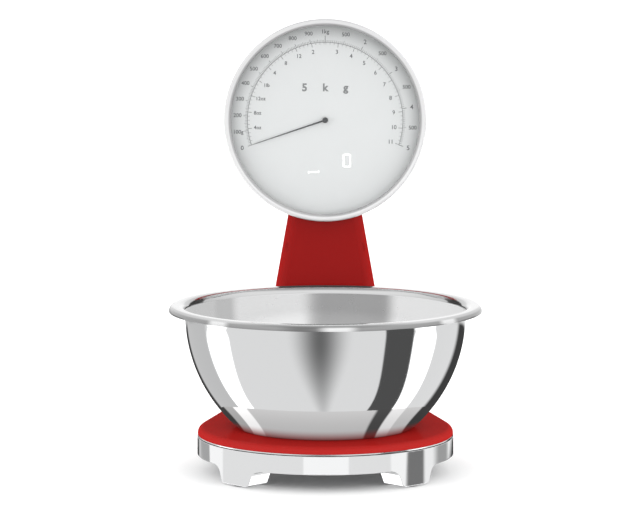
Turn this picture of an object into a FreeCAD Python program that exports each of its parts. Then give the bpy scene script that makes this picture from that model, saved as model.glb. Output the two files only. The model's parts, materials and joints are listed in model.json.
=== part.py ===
import FreeCAD, Part
import math
import os
import Sketcher
from FreeCAD import Placement, Rotation, Vector
from types import SimpleNamespace

# Kitchen scale with a tall dial head on a tapered column, a teardrop base on four feet
# and a lift-off mixing bowl.  Millimetres, +Z up, front towards -Y.  The origin is on the
# table, under the middle of the bounding box, so the bowl's axis stands a little in front
# of it.
#
# Three frames are used.  "bowl frame": origin on the table under the bowl's centre.
# "head frame": origin at the centre of the dial's front, x to the right, y up the dial and
# z out towards the reader; it leans back by dial_tilt.  Every piece is drawn in one of the
# two and then placed.

doc = FreeCAD.newDocument("kitchen_scale")
sheet = doc.addObject("Spreadsheet::Sheet", "Sizes")

DIMENSIONS = (
    # bowl
    ("rim_radius", 112.5, "outside of the bowl's rolled rim"),
    ("rim_top", 120.8, "height of the rim above the table"),
    ("rim_drop", 4.4, "height of the rim's turned-down edge"),
    ("rim_curl", 4.2, "rounding where the rim turns down"),
    ("bowl_wall", 0.8, "sheet thickness of the bowl"),
    ("bowl_floor_radius", 63.7, "floor corner of the bowl, before rounding"),
    ("bowl_neck_radius", 101.15, "bowl wall just under the rim flange"),
    ("bowl_belly_radius", 109.0, "radius of the bowl wall's arc"),
    ("belly_corner_r", 99.85, "where the tangents of the wall's arc cross, from the axis"),
    ("belly_corner_z", 65.4, "where the tangents of the wall's arc cross, above the table"),
    # base
    ("base_radius", 92.4, "round front of the base"),
    ("base_rear", 178.0, "rear face of the base behind the bowl axis"),
    ("corner_radius", 30.0, "rear corners of the base"),
    ("corner_offset", 28.7, "rear corner centres from the middle plane"),
    ("foot_bottom", 1.2, "underside of the cast feet; the rubber pads stand below it"),
    ("arch_top", 13.0, "underside of the base between the feet"),
    ("casting_top", 25.9, "top edge of the base casting"),
    ("casting_wall", 4.0, "side wall of the casting"),
    ("foot_depth", 18.4, "depth of the feet and of the casting's lower flange"),
    ("web_bottom", 15.6, "underside of the casting's floor web"),
    ("web_top", 18.2, "top of the casting's floor web"),
    ("foot_angle", 44.2, "front feet from straight ahead, degrees"),
    ("foot_half_bottom", 13.0, "half width of a foot at its underside"),
    ("foot_half_top", 17.5, "half width of a foot under the arch, before rounding"),
    ("pad_radius", 7.0, "rubber foot pad"),
    # platform
    ("platform_gap", 0.7, "air gap between casting and platform"),
    ("trim_height", 0.7, "bright trim under the red plate"),
    ("plate_top", 32.5, "surface that the bowl stands on"),
    ("plate_skin", 2.3, "thickness of plate and deck"),
    ("plate_round", 4.2, "rounded upper edge of plate and deck"),
    ("seam", 98.0, "rear end of the moving platform behind the bowl axis"),
    ("seam_gap", 1.6, "gap between platform and rear deck"),
    ("cell_bottom", 19.0, "underside of the load cell"),
    ("cell_height", 6.0, "thickness of the load cell"),
    ("cell_width", 12.0, "width of the load cell"),
    ("cell_length", 47.0, "length of the load cell"),
    # head and column
    ("dial_y", 121.2, "dial centre behind the bowl axis"),
    ("dial_z", 244.2, "dial centre above the table"),
    ("dial_tilt", 4.3, "lean of the dial and the column, degrees"),
    ("bezel_radius", 76.2, "outside of the bezel"),
    ("bezel_opening", 71.0, "clear radius inside the bezel"),
    ("bezel_depth", 10.4, "front to back of the bezel"),
    ("housing_radius", 75.6, "outside of the head housing"),
    ("housing_wall", 2.4, "wall of the housing and the column"),
    ("head_depth", 48.0, "front of the bezel to the back of the head"),
    ("glass_front", 3.2, "front of the bezel to the dial glass"),
    ("glass_thickness", 2.0, "dial glass"),
    ("gasket_height", 4.0, "glass to dial plate"),
    ("dial_thickness", 1.2, "dial plate"),
    ("stack_radius", 74.0, "glass, gasket and dial plate"),
    ("column_front", 12.5, "column front behind the bezel front"),
    ("column_back", 43.0, "column back behind the bezel front"),
    ("column_half_top", 28.9, "half width of the column under the head"),
    ("column_half_foot", 53.1, "half width of the column at the base"),
    ("column_round", 8.0, "rounded long edges of the column"),
    ("column_reach", 212.0, "dial centre to the foot of the column, down the dial plane"),
    # pointer drive
    ("gear_module", 0.5, "module of the pointer drive"),
    ("wheel_teeth", 60, "teeth of the pointer wheel"),
    ("pinion_teeth", 10, "teeth of the motor pinion"),
    ("arbor_radius", 1.0, "pointer arbor"),
    ("pointer_length", 56.8, "arbor to needle tip"),
    ("zero_angle", 198.6, "needle at zero, counter-clockwise from the dial's right, degrees"),
    # battery bay
    ("cell_radius", 5.25, "micro cell"),
    ("battery_length", 44.5, "micro cell"),
    ("battery_pitch", 11.6, "cell to cell"),
    ("door_half_width", 28.0, "battery door"),
)


class Size:
    """A number together with the sheet expression that gives it."""

    def __init__(self, value, text):
        self.value = float(value)
        self.text = text

    def __add__(self, other):
        other = as_size(other)
        return Size(self.value + other.value, f"({self.text} + {other.text})")

    def __radd__(self, other):
        return as_size(other) + self

    def __sub__(self, other):
        other = as_size(other)
        return Size(self.value - other.value, f"({self.text} - {other.text})")

    def __rsub__(self, other):
        return as_size(other) - self

    def __mul__(self, other):
        other = as_size(other)
        return Size(self.value * other.value, f"({self.text} * {other.text})")

    def __rmul__(self, other):
        return as_size(other) * self

    def __truediv__(self, other):
        other = as_size(other)
        return Size(self.value / other.value, f"({self.text} / {other.text})")

    def __neg__(self):
        return Size(-self.value, f"(0 - {self.text})")


def as_size(number):
    """Turns a plain number into a Size."""
    if isinstance(number, Size):
        return number
    return Size(number, f"({float(number)})")


def fill_sheet():
    """Writes the driving dimensions to the sheet and returns them by name."""
    sizes = {}
    for row, (name, value, meaning) in enumerate(DIMENSIONS, start=1):
        sheet.set(f"A{row}", meaning)
        sheet.set(f"B{row}", str(value))
        sheet.setAlias(f"B{row}", name)
        sizes[name] = Size(value, f"Sizes.{name}")
    doc.recompute()
    return SimpleNamespace(**sizes)


dim = fill_sheet()
ZERO = as_size(0)
BOWL_AXIS_Y = (dim.rim_radius - dim.base_rear) / 2
CORNER_Y = dim.base_rear - dim.corner_radius
TRIM_BOTTOM = dim.casting_top + dim.platform_gap
PLATE_BOTTOM = TRIM_BOTTOM + dim.trim_height
PLATE_UNDERSIDE = dim.plate_top - dim.plate_skin
GLASS_BACK = -(dim.glass_front + dim.glass_thickness)
DIAL_FRONT = GLASS_BACK - dim.gasket_height
DIAL_BACK = DIAL_FRONT - dim.dial_thickness
SQUARE_TURN = 90.0
nodes = []


# ---------------------------------------------------------------- building blocks


def bind(item, name, size):
    """Sets a property, by expression when the size comes from the sheet."""
    size = as_size(size)
    if "Sizes." in size.text:
        item.setExpression(name, size.text)
    else:
        setattr(item, name, size.value)


def move(item, x=0, y=0, z=0):
    """Puts an item's own origin at x, y, z."""
    item.Placement = Placement(Vector(*(as_size(v).value for v in (x, y, z))), Rotation())
    for letter, size in zip("xyz", (x, y, z)):
        size = as_size(size)
        if size.value or "Sizes." in size.text:
            item.setExpression(f"Placement.Base.{letter}", size.text)
    return item


def cylinder(radius, bottom, top, x=0, y=0):
    """An upright cylinder between two heights."""
    item = doc.addObject("Part::Cylinder", "cylinder")
    bind(item, "Radius", radius)
    bind(item, "Height", as_size(top) - as_size(bottom))
    return move(item, x, y, bottom)


def box(low, high):
    """A box between two corners."""
    low = [as_size(v) for v in low]
    high = [as_size(v) for v in high]
    item = doc.addObject("Part::Box", "box")
    for name, start, end in zip(("Length", "Width", "Height"), low, high):
        bind(item, name, end - start)
    return move(item, *low)


def gather(items):
    """Joins solids that stay apart into one compound."""
    item = doc.addObject("Part::Compound", "group")
    item.Links = list(items)
    return item


def turned(item, angle):
    """Turns an item about the z axis; the angle is in degrees."""
    group = gather([item])
    turn = Rotation(Vector(0, 0, 1), as_size(angle).value)
    group.Placement = Placement(Vector(0, 0, 0), turn)
    if "Sizes." in as_size(angle).text:
        group.setExpression("Placement.Rotation.Angle", angle.text)
    return group


def fuse(*items):
    """Joins touching solids."""
    item = doc.addObject("Part::MultiFuse", "fuse")
    item.Shapes = list(items)
    return item


def cut(base, *tools):
    """Takes the tools away from the base."""
    item = doc.addObject("Part::Cut", "cut")
    item.Base = base
    item.Tool = tools[0] if len(tools) == 1 else gather(tools)
    return item


def common(base, tool):
    """Keeps what two solids share."""
    item = doc.addObject("Part::Common", "common")
    item.Base = base
    item.Tool = tool
    return item


def ring(outer, inner, bottom, top):
    """A flat ring between two heights."""
    return cut(cylinder(outer, bottom, top), cylinder(inner, bottom, top))


def in_bowl_frame(item):
    """Places an item that was drawn about the bowl axis."""
    return move(item, 0, BOWL_AXIS_Y, 0)


def head_placement():
    """The head frame as numbers."""
    turn = Rotation(Vector(1, 0, 0), SQUARE_TURN - dim.dial_tilt.value)
    centre_y = (BOWL_AXIS_Y + dim.dial_y).value
    return Placement(Vector(0, centre_y, dim.dial_z.value), turn)


def in_head_frame(item):
    """Places an item that was drawn about the dial's centre."""
    item.Placement = head_placement()
    item.setExpression("Placement.Base.y", (BOWL_AXIS_Y + dim.dial_y).text)
    item.setExpression("Placement.Base.z", dim.dial_z.text)
    item.setExpression("Placement.Rotation.Angle", (SQUARE_TURN - dim.dial_tilt).text)
    return item


def node(name, item):
    """Names a finished sub-part."""
    item.Label = name
    nodes.append(item)
    return item


# ---------------------------------------------------------------- sketches and bodies


def new_body(name):
    return doc.addObject("PartDesign::Body", name)


def new_sketch(body, role, height=ZERO):
    """An empty sketch on one of the body's own planes, lifted along its normal."""
    sketch = body.newObject("Sketcher::SketchObject", "sketch")
    plane = [item for item in body.Origin.OriginFeatures if item.Role == role][0]
    sketch.AttachmentSupport = (plane, [""])
    sketch.MapMode = "FlatFace"
    height = as_size(height)
    sketch.AttachmentOffset = Placement(Vector(0, 0, height.value), Rotation())
    if "Sizes." in height.text:
        sketch.setExpression("AttachmentOffset.Base.z", height.text)
    return sketch


def pin_point(sketch, geometry, position, x, y):
    """Ties one point of a sketch to its coordinates."""
    for kind, size, axis in (("DistanceX", x, -2), ("DistanceY", y, -1)):
        size = as_size(size)
        if "Sizes." not in size.text and size.value == 0:
            sketch.addConstraint(Sketcher.Constraint("PointOnObject", geometry, position, axis))
            continue
        row = sketch.addConstraint(
            Sketcher.Constraint(kind, -1, 1, geometry, position, size.value)
        )
        if "Sizes." in size.text:
            sketch.setExpression(f"Constraints[{row}]", size.text)


def set_radius(sketch, geometry, radius):
    """Ties an arc's or circle's radius."""
    radius = as_size(radius)
    row = sketch.addConstraint(Sketcher.Constraint("Radius", geometry, radius.value))
    if "Sizes." in radius.text:
        sketch.setExpression(f"Constraints[{row}]", radius.text)


def corner_arc(before, corner, after, radius):
    """The arc that rounds a corner, its two ends and its turning sense."""
    inward = (corner - before).normalize()
    outward = (after - corner).normalize()
    turn = inward.x * outward.y - inward.y * outward.x
    angle = math.acos(max(-1.0, min(1.0, inward.dot(outward))))
    reach = radius * math.tan(angle / 2)
    first = corner - inward * reach
    last = corner + outward * reach
    side = 1 if turn > 0 else -1
    centre = first + Vector(-inward.y, inward.x, 0) * radius * side
    start, end = (first, last) if turn > 0 else (last, first)
    low = math.atan2(start.y - centre.y, start.x - centre.x)
    high = math.atan2(end.y - centre.y, end.x - centre.x)
    if high < low:
        high += 2 * math.pi
    circle = Part.Circle(centre, Vector(0, 0, 1), radius)
    return Part.ArcOfCircle(circle, low, high), first, last, turn > 0


def outline(sketch, corners):
    """Draws a closed outline.  A corner is (x, y) or (x, y, rounding radius)."""
    points = [Vector(as_size(c[0]).value, as_size(c[1]).value, 0) for c in corners]
    count = len(corners)
    starts = list(points)
    ends = list(points)
    arcs = {}
    for index, corner in enumerate(corners):
        if len(corner) == 3:
            after = points[(index + 1) % count]
            arc, first, last, left_turn = corner_arc(
                points[index - 1], points[index], after, as_size(corner[2]).value
            )
            arcs[index] = (arc, left_turn)
            ends[index] = first
            starts[index] = last
    lines = [
        sketch.addGeometry(Part.LineSegment(starts[i], ends[(i + 1) % count]))
        for i in range(count)
    ]
    for index, corner in enumerate(corners):
        before = lines[index - 1]
        after = lines[index]
        if index not in arcs:
            sketch.addConstraint(Sketcher.Constraint("Coincident", before, 2, after, 1))
            pin_point(sketch, after, 1, corner[0], corner[1])
            continue
        arc, left_turn = arcs[index]
        curve = sketch.addGeometry(arc)
        near, far = (1, 2) if left_turn else (2, 1)
        sketch.addConstraint(Sketcher.Constraint("Tangent", before, 2, curve, near))
        sketch.addConstraint(Sketcher.Constraint("Tangent", after, 1, curve, far))
        set_radius(sketch, curve, corner[2])
        vertex = sketch.addGeometry(Part.Point(points[index]), True)
        sketch.addConstraint(Sketcher.Constraint("PointOnObject", vertex, 1, before))
        sketch.addConstraint(Sketcher.Constraint("PointOnObject", vertex, 1, after))
        pin_point(sketch, vertex, 1, corner[0], corner[1])
    return sketch


def circle(sketch, radius, x=0, y=0):
    """Draws a circle."""
    centre = Vector(as_size(x).value, as_size(y).value, 0)
    curve = sketch.addGeometry(Part.Circle(centre, Vector(0, 0, 1), as_size(radius).value))
    set_radius(sketch, curve, radius)
    pin_point(sketch, curve, 3, x, y)
    return sketch


def pad(body, sketch, length):
    """Adds material along the sketch's normal."""
    item = body.newObject("PartDesign::Pad", "pad")
    item.Profile = sketch
    bind(item, "Length", length)
    sketch.Visibility = False
    return item


def pocket(body, sketch, length, upwards=False):
    """Takes material away below the sketch, or above it, and proves that it did."""
    doc.recompute()
    before = body.Shape.Volume
    item = body.newObject("PartDesign::Pocket", "pocket")
    item.Profile = sketch
    item.Reversed = upwards
    bind(item, "Length", length)
    doc.recompute()
    if before - body.Shape.Volume < 1e-3:
        raise ValueError(f"a pocket in {body.Name} cuts nothing")
    return item


def revolve(body, corners):
    """Turns an outline of (radius, height) corners about the body's own z axis."""
    sketch = outline(new_sketch(body, "XZ_Plane"), corners)
    item = body.newObject("PartDesign::Revolution", "revolution")
    item.Profile = sketch
    item.ReferenceAxis = (sketch, ["V_Axis"])
    item.Angle = 360
    return item


def fillet(body, feature, radius, wanted):
    """Rounds the edges whose middle point passes the test."""
    doc.recompute()
    names = [
        f"Edge{index}"
        for index, edge in enumerate(feature.Shape.Edges, start=1)
        if wanted(edge.valueAt((edge.FirstParameter + edge.LastParameter) / 2))
    ]
    item = body.newObject("PartDesign::Fillet", "fillet")
    item.Base = (feature, names)
    bind(item, "Radius", radius)
    doc.recompute()
    return item


def at_height(size):
    """An edge test: the edge lies at this height."""
    return lambda point: abs(point.z - size.value) < 1e-3


def teardrop(sketch, inset=ZERO):
    """Base outline: a round front, straight sides that close in, rounded rear corners."""
    big = dim.base_radius - inset
    small = dim.corner_radius - inset
    centre_x = dim.corner_offset.value
    centre_y = CORNER_Y.value
    span = math.hypot(centre_x, centre_y)
    lean = math.atan2(centre_y, centre_x)
    side = lean - math.acos((big.value - small.value) / span)
    out = Vector(math.cos(side), math.sin(side), 0)
    mirrored = Vector(-out.x, out.y, 0)
    right = Vector(centre_x, centre_y, 0)
    left = Vector(-centre_x, centre_y, 0)
    up = Vector(0, 0, 1)
    back = Vector(0, small.value, 0)
    front = sketch.addGeometry(
        Part.ArcOfCircle(
            Part.Circle(Vector(0, 0, 0), up, big.value), math.pi - side, 2 * math.pi + side
        )
    )
    side_right = sketch.addGeometry(
        Part.LineSegment(out * big.value, right + out * small.value)
    )
    arc_right = sketch.addGeometry(
        Part.ArcOfCircle(Part.Circle(right, up, small.value), side, math.pi / 2)
    )
    rear = sketch.addGeometry(Part.LineSegment(right + back, left + back))
    arc_left = sketch.addGeometry(
        Part.ArcOfCircle(Part.Circle(left, up, small.value), math.pi / 2, math.pi - side)
    )
    side_left = sketch.addGeometry(
        Part.LineSegment(left + mirrored * small.value, mirrored * big.value)
    )
    loop = (front, side_right, arc_right, rear, arc_left, side_left)
    for first, second in zip(loop, loop[1:] + loop[:1]):
        sketch.addConstraint(Sketcher.Constraint("Tangent", first, 2, second, 1))
    set_radius(sketch, front, big)
    pin_point(sketch, front, 3, 0, 0)
    for arc, offset in ((arc_right, dim.corner_offset), (arc_left, -dim.corner_offset)):
        set_radius(sketch, arc, small)
        pin_point(sketch, arc, 3, offset, CORNER_Y)
    return sketch


# ---------------------------------------------------------------- fasteners

SOCKET_SHARE = 0.5  # hexagon socket, of the head's radius
SOCKET_DEPTH = 0.6  # of the head's height
SCREW_CLEARANCE = 0.05  # between a shank and its hole
HEAD_PLAY = 0.2  # between a screw head and its counterbore
BOLT_RADIUS = 1.5
BOLT_HEAD_RADIUS = 2.75
SMALL_BOLT_RADIUS = 1.0
SMALL_HEAD_RADIUS = 1.9
SMALL_HEAD_HEIGHT = 1.5
SMALL_HOLE = SMALL_BOLT_RADIUS + SCREW_CLEARANCE
BOLT_HOLE = BOLT_RADIUS + SCREW_CLEARANCE
FAR = 120.0  # half size of blocks that cut everything on one side away


def screw(x, y, head_face, head_radius, head_height, shank_radius, length, down=True):
    """A socket screw.  head_face is the height of the head's open end."""
    way = -1 if down else 1
    seat = head_face + way * head_height
    tip = seat + way * length
    levels = sorted((head_face, seat)), sorted((seat, tip))
    body = fuse(
        cylinder(head_radius, *levels[0], x, y), cylinder(shank_radius, *levels[1], x, y)
    )
    socket = doc.addObject("Part::Prism", "socket")
    socket.Polygon = 6
    socket.Circumradius = head_radius * SOCKET_SHARE
    socket.Height = head_height * SOCKET_DEPTH
    move(socket, x, y, head_face - socket.Height.Value if down else head_face)
    return cut(body, socket)


def small_screw(x, y, head_face, length, down=True):
    """A small socket screw for boards and the motor."""
    return screw(
        x, y, head_face, SMALL_HEAD_RADIUS, SMALL_HEAD_HEIGHT, SMALL_BOLT_RADIUS, length, down
    )


def mirrored_pairs(places):
    """Each place and its mirror image in the middle plane."""
    return [(side * x, y) for x, y in places for side in (-1, 1)]


def holes(places, radius, bottom, top):
    """Upright drill shapes at several places."""
    return [cylinder(radius, bottom, top, x, y) for x, y in places]


# ---------------------------------------------------------------- base

ARCH_ROUND = 8.0
REAR_FOOT_TURN = 135.0  # rear feet look outwards at 45 degrees, degrees from the front
FOOT_PADS = {
    "foot_pad_front_left": (-57.8, -59.4),
    "foot_pad_front_right": (57.8, -59.4),
    "foot_pad_rear_left": (-43.2, 162.5),
    "foot_pad_rear_right": (43.2, 162.5),
}
PAD_PLACES = list(FOOT_PADS.values())
PAD_SINK = 1.0  # depth of the recess that holds a foot pad
PAD_PLAY = 0.2
COVER_SCREWS = mirrored_pairs(((36.0, -54.0), (62.0, 20.0), (40.0, 108.0)))
STOP_PLACES = mirrored_pairs(((33.0, -33.0), (33.0, 33.0)))
STOP_BOSS_RADIUS = 5.0
STOP_BOSS_TOP = 24.0
STOP_RADIUS = 2.5
STOP_CLEARANCE = 0.55  # overload stop below the carrier
TRAY_LOW = (-26.5, 103.6, 15.6)
TRAY_HIGH = (26.5, 161.6, 28.5)
TRAY_PLAY = 0.2
CELL_BOLTS_FIXED = ((0.0, 14.5), (0.0, 20.5))
CELL_BOLTS_FREE = ((0.0, -20.5), (0.0, -14.5))
SPINE_BOLTS = mirrored_pairs(((37.5, 126.0), (37.5, 146.0)))
DOOR_PLAY = 0.4
DOOR_FRONT = 97.6
DOOR_NOTCH_FRONT = 150.0  # where the notch for the door starts in the casting
DOOR_TOP = 15.3
COVER_TOP = 15.4
COVER_INSET = 18.7
COVER_LOW = 12.0  # below the cover, where its holes are drilled from
COVER_HIGH = 17.0  # above the cover
COVER_SEAT = 14.2  # where the heads of the cover's screws sit
COVER_HEAD_FACE = 13.0
COVER_HEAD_HEIGHT = 1.2
FOOT_TOE_ROUND = 2.5
FOOT_MARGIN = 12.0  # flat above the arch beside each foot
FRONT_FOOT_START = 60.0  # from the bowl axis outwards
REAR_FOOT_START = 2.0  # from the rear corner's centre outwards
FOOT_LENGTH = 60.0
CELL_SEAT = ((-7, 11), (7, 24))
WIRE_SLOT = ((-5, -25), (5, -10))  # lets a tool reach the screws under the load cell
STOP_SOCKET_RADIUS = 1.4
STOP_SOCKET_DEPTH = 2.0
STOP_LOW_END = 16.0


def foot_prism(x, y, turn, start, length):
    """Side view of a foot, flared with a rounded arch on each side, pushed outwards."""
    body = new_body("foot_prism")
    top = dim.arch_top
    wide = dim.foot_half_top
    narrow = dim.foot_half_bottom
    bottom = dim.foot_bottom
    reach = wide + FOOT_MARGIN
    sketch = outline(new_sketch(body, "XZ_Plane", start), (
        (-reach, top + 1), (-reach, top), (-wide, top, ARCH_ROUND), (-narrow, bottom, FOOT_TOE_ROUND),
        (narrow, bottom, FOOT_TOE_ROUND), (wide, top, ARCH_ROUND), (reach, top), (reach, top + 1),
    ))
    pad(body, sketch, length)
    body.Placement = Placement(Vector(x, y, 0), Rotation(Vector(0, 0, 1), turn))
    return body


def feet():
    """The four feet: parts of the teardrop's skirt, shaped from the side."""
    skirt = new_body("skirt_body")
    outside = teardrop(new_sketch(skirt, "XY_Plane", dim.foot_bottom))
    pad(skirt, outside, dim.arch_top + 1 - dim.foot_bottom)
    inside = teardrop(new_sketch(skirt, "XY_Plane", dim.foot_bottom), dim.foot_depth)
    pocket(skirt, inside, dim.arch_top + 1 - dim.foot_bottom, True)
    turn = dim.foot_angle.value
    corner_x = dim.corner_offset.value
    corner_y = CORNER_Y.value
    prisms = [
        foot_prism(0, 0, side * turn, FRONT_FOOT_START, FOOT_LENGTH) for side in (-1, 1)
    ]
    prisms += [
        foot_prism(
            side * corner_x, corner_y, side * REAR_FOOT_TURN, REAR_FOOT_START, FOOT_LENGTH
        )
        for side in (-1, 1)
    ]
    return common(skirt, gather(prisms))


def base_casting():
    """Chromed casting: skirt with four feet, floor web, load-cell seat and stop bosses."""
    body = new_body("base_casting_body")
    outside = teardrop(new_sketch(body, "XY_Plane", dim.arch_top))
    pad(body, outside, dim.casting_top - dim.arch_top)
    inside_top = teardrop(new_sketch(body, "XY_Plane", dim.casting_top), dim.casting_wall)
    pocket(body, inside_top, dim.casting_top - dim.web_top)
    inside_low = teardrop(new_sketch(body, "XY_Plane", dim.arch_top), dim.foot_depth)
    pocket(body, inside_low, dim.web_bottom - dim.arch_top, True)
    seat = box((*CELL_SEAT[0], dim.web_top), (*CELL_SEAT[1], dim.cell_bottom))
    bosses = holes(STOP_PLACES, STOP_BOSS_RADIUS, dim.web_top - 1, STOP_BOSS_TOP)
    solid = fuse(body, feet(), seat, *bosses)
    door_half = dim.door_half_width + DOOR_PLAY
    low = [v - TRAY_PLAY for v in TRAY_LOW[:2]]
    high = [v + TRAY_PLAY for v in TRAY_HIGH[:2]]
    tools = [
        box((*low, dim.web_bottom - 1), (*high, dim.web_top + 1)),
        box(
            (-door_half, DOOR_NOTCH_FRONT, dim.arch_top - 1),
            (door_half, dim.base_rear + 1, dim.web_bottom),
        ),
        box((*WIRE_SLOT[0], dim.web_bottom - 1), (*WIRE_SLOT[1], dim.web_top + 1)),
    ]
    recess = dim.pad_radius + PAD_PLAY
    drill_top = dim.web_top + 3
    tools += holes(PAD_PLACES, recess, 0, dim.foot_bottom + PAD_SINK)
    stop_hole = STOP_RADIUS + SCREW_CLEARANCE
    tools += holes(COVER_SCREWS, BOLT_HOLE, dim.web_bottom - 1, dim.web_top + 1)
    tools += holes(STOP_PLACES, stop_hole, dim.web_bottom - 1, STOP_BOSS_TOP + 1)
    tools += holes(CELL_BOLTS_FIXED, BOLT_HOLE, dim.web_bottom - 1, drill_top)
    tools += holes(SPINE_BOLTS, BOLT_HOLE, dim.web_bottom - 1, drill_top)
    node("base_casting", in_bowl_frame(cut(solid, *tools)))


def foot_pads():
    """Four rubber pads sunk into the feet."""
    for name, (x, y) in FOOT_PADS.items():
        pad_top = dim.foot_bottom + PAD_SINK
        body = new_body(name + "_body")
        revolve(body, (
            (0, 0), (dim.pad_radius, 0, 0.5), (dim.pad_radius, pad_top), (0, pad_top),
        ))
        node(name, move(body, x, BOWL_AXIS_Y + y, 0))


def bottom_cover():
    """Plastic cover under the base, open where the battery door slides."""
    body = new_body("bottom_cover_body")
    shape = teardrop(new_sketch(body, "XY_Plane", dim.arch_top), as_size(COVER_INSET))
    pad(body, shape, COVER_TOP - dim.arch_top)
    door_half = dim.door_half_width + DOOR_PLAY
    door_front = DOOR_FRONT - 0.6
    rear = dim.base_rear + 2
    tools = [box((-door_half, door_front, COVER_LOW), (door_half, rear, COVER_HIGH))]
    tools += holes(COVER_SCREWS, BOLT_HOLE, COVER_LOW, COVER_HIGH)
    tools += holes(COVER_SCREWS, BOLT_HEAD_RADIUS + HEAD_PLAY, COVER_LOW, COVER_SEAT)
    node("bottom_cover", in_bowl_frame(cut(body, *tools)))
    screws = [
        screw(
            x, y, COVER_HEAD_FACE, BOLT_HEAD_RADIUS, COVER_HEAD_HEIGHT, BOLT_RADIUS, 3.8, False
        )
        for x, y in COVER_SCREWS
    ]
    node("bottom_cover_screws", in_bowl_frame(gather(screws)))


def overload_stops():
    """Set screws that catch the carrier before the load cell bends too far."""
    top = PLATE_UNDERSIDE - CARRIER_THICKNESS - STOP_CLEARANCE
    stops = holes(STOP_PLACES, STOP_RADIUS, STOP_LOW_END, top)
    sockets = []
    for x, y in STOP_PLACES:
        socket = doc.addObject("Part::Prism", "socket")
        socket.Polygon = 6
        socket.Circumradius = STOP_SOCKET_RADIUS
        socket.Height = STOP_SOCKET_DEPTH + 1
        sockets.append(move(socket, x, y, top - STOP_SOCKET_DEPTH))
    node("overload_stops", in_bowl_frame(cut(gather(stops), *sockets)))


# ---------------------------------------------------------------- battery bay

CELL_CENTRE_Z = 21.4
CELL_START_Y = TRAY_LOW[1] + 6.0
CELL_COLUMNS = (-1.5, -0.5, 0.5, 1.5)
TRAY_WALL = 2.0
EAR_LENGTH = 10.0
EAR_WIDTH = 7.0
CONTACT_SHEET = 0.5
CONTACT_HALF_WIDTH = 24.0
CONTACT_LOW = 17.5
CONTACT_HIGH = 26.0
CAP_RADIUS = 1.9
CAP_HEIGHT = 0.9
TRAY_ROOF = 1.6
SPRING_RADIUS = 2.6
SPRING_WIRE = 0.35
SPRING_TURNS = 3
RIB_COUNT = 4
RIB_PITCH = 3.0
RIB_WIDTH = 1.2
RIB_FRONT = 164.0
RIB_HALF_LENGTH = 12.0
RIB_HEIGHT = 0.7


def lying_cylinder(radius, length, x, y, z):
    """A cylinder along +Y."""
    item = doc.addObject("Part::Cylinder", "cylinder")
    bind(item, "Radius", radius)
    bind(item, "Height", length)
    turn = Rotation(Vector(1, 0, 0), -SQUARE_TURN)
    item.Placement = Placement(Vector(0, y, z), turn)
    item.setExpression("Placement.Base.x", as_size(x).text)
    return item


def battery_tray():
    """Open-bottomed tray for four micro cells, with ears that rest on the web."""
    low = TRAY_LOW
    high = TRAY_HIGH
    shell = box(low, high)
    ear_end = low[1] + EAR_LENGTH
    ears = [
        box((x, low[1], dim.web_top), (x + EAR_WIDTH, ear_end, dim.web_top + TRAY_WALL))
        for x in (low[0] - EAR_WIDTH + 0.5, high[0] - 0.5)
    ]
    room = box(
        (low[0] + TRAY_WALL, low[1] + TRAY_WALL, low[2] - 1),
        (high[0] - TRAY_WALL, high[1] - TRAY_WALL, high[2] - TRAY_ROOF),
    )
    node("battery_tray", in_bowl_frame(cut(fuse(shell, *ears), room)))


def battery_cells():
    """Four micro cells side by side, every second one turned round."""
    cells = []
    for index, column in enumerate(CELL_COLUMNS):
        x = dim.battery_pitch * column
        can_y = CELL_START_Y + (0 if index % 2 else CAP_HEIGHT)
        cap_y = CELL_START_Y + dim.battery_length.value - CAP_HEIGHT if index % 2 else CELL_START_Y
        can = lying_cylinder(
            dim.cell_radius, dim.battery_length - CAP_HEIGHT, x, can_y, CELL_CENTRE_Z
        )
        cap = lying_cylinder(CAP_RADIUS, CAP_HEIGHT, x, cap_y, CELL_CENTRE_Z)
        cells.append(fuse(can, cap))
    node("battery_cells", in_bowl_frame(gather(cells)))


def coil_spring(x, start_y, end_y):
    """A short coil along +Y, as a swept helix."""
    length = end_y - start_y - 2 * SPRING_WIRE
    helix = Part.makeHelix(length / SPRING_TURNS, length, SPRING_RADIUS)
    wire = Part.Circle(Vector(SPRING_RADIUS, 0, 0), Vector(0, 1, 0), SPRING_WIRE)
    section = Part.Wire(wire.toShape())
    coil = Part.Wire(helix.Edges).makePipeShell([section], True, True)
    coil.Placement = Placement(
        Vector(x, start_y + SPRING_WIRE, CELL_CENTRE_Z), Rotation(Vector(1, 0, 0), -SQUARE_TURN)
    )
    return coil


def battery_contacts():
    """Plates at both ends of the bay and a coil spring behind each flat cell end."""
    front_wall = TRAY_LOW[1] + TRAY_WALL
    rear_wall = TRAY_HIGH[1] - TRAY_WALL
    starts = (front_wall, rear_wall - CONTACT_SHEET)
    half = CONTACT_HALF_WIDTH
    plates = [
        box((-half, y, CONTACT_LOW), (half, y + CONTACT_SHEET, CONTACT_HIGH)) for y in starts
    ]
    node("battery_contact_plates", in_bowl_frame(gather(plates)))
    coils = []
    cell_end = CELL_START_Y + dim.battery_length.value
    for index, column in enumerate(CELL_COLUMNS):
        x = dim.battery_pitch.value * column
        if index % 2:
            coils.append(coil_spring(x, front_wall + CONTACT_SHEET, CELL_START_Y))
        else:
            coils.append(coil_spring(x, cell_end, rear_wall - CONTACT_SHEET))
    springs = doc.addObject("Part::Feature", "battery_springs")
    springs.Shape = Part.makeCompound(coils)
    node("battery_springs", in_bowl_frame(springs))


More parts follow.
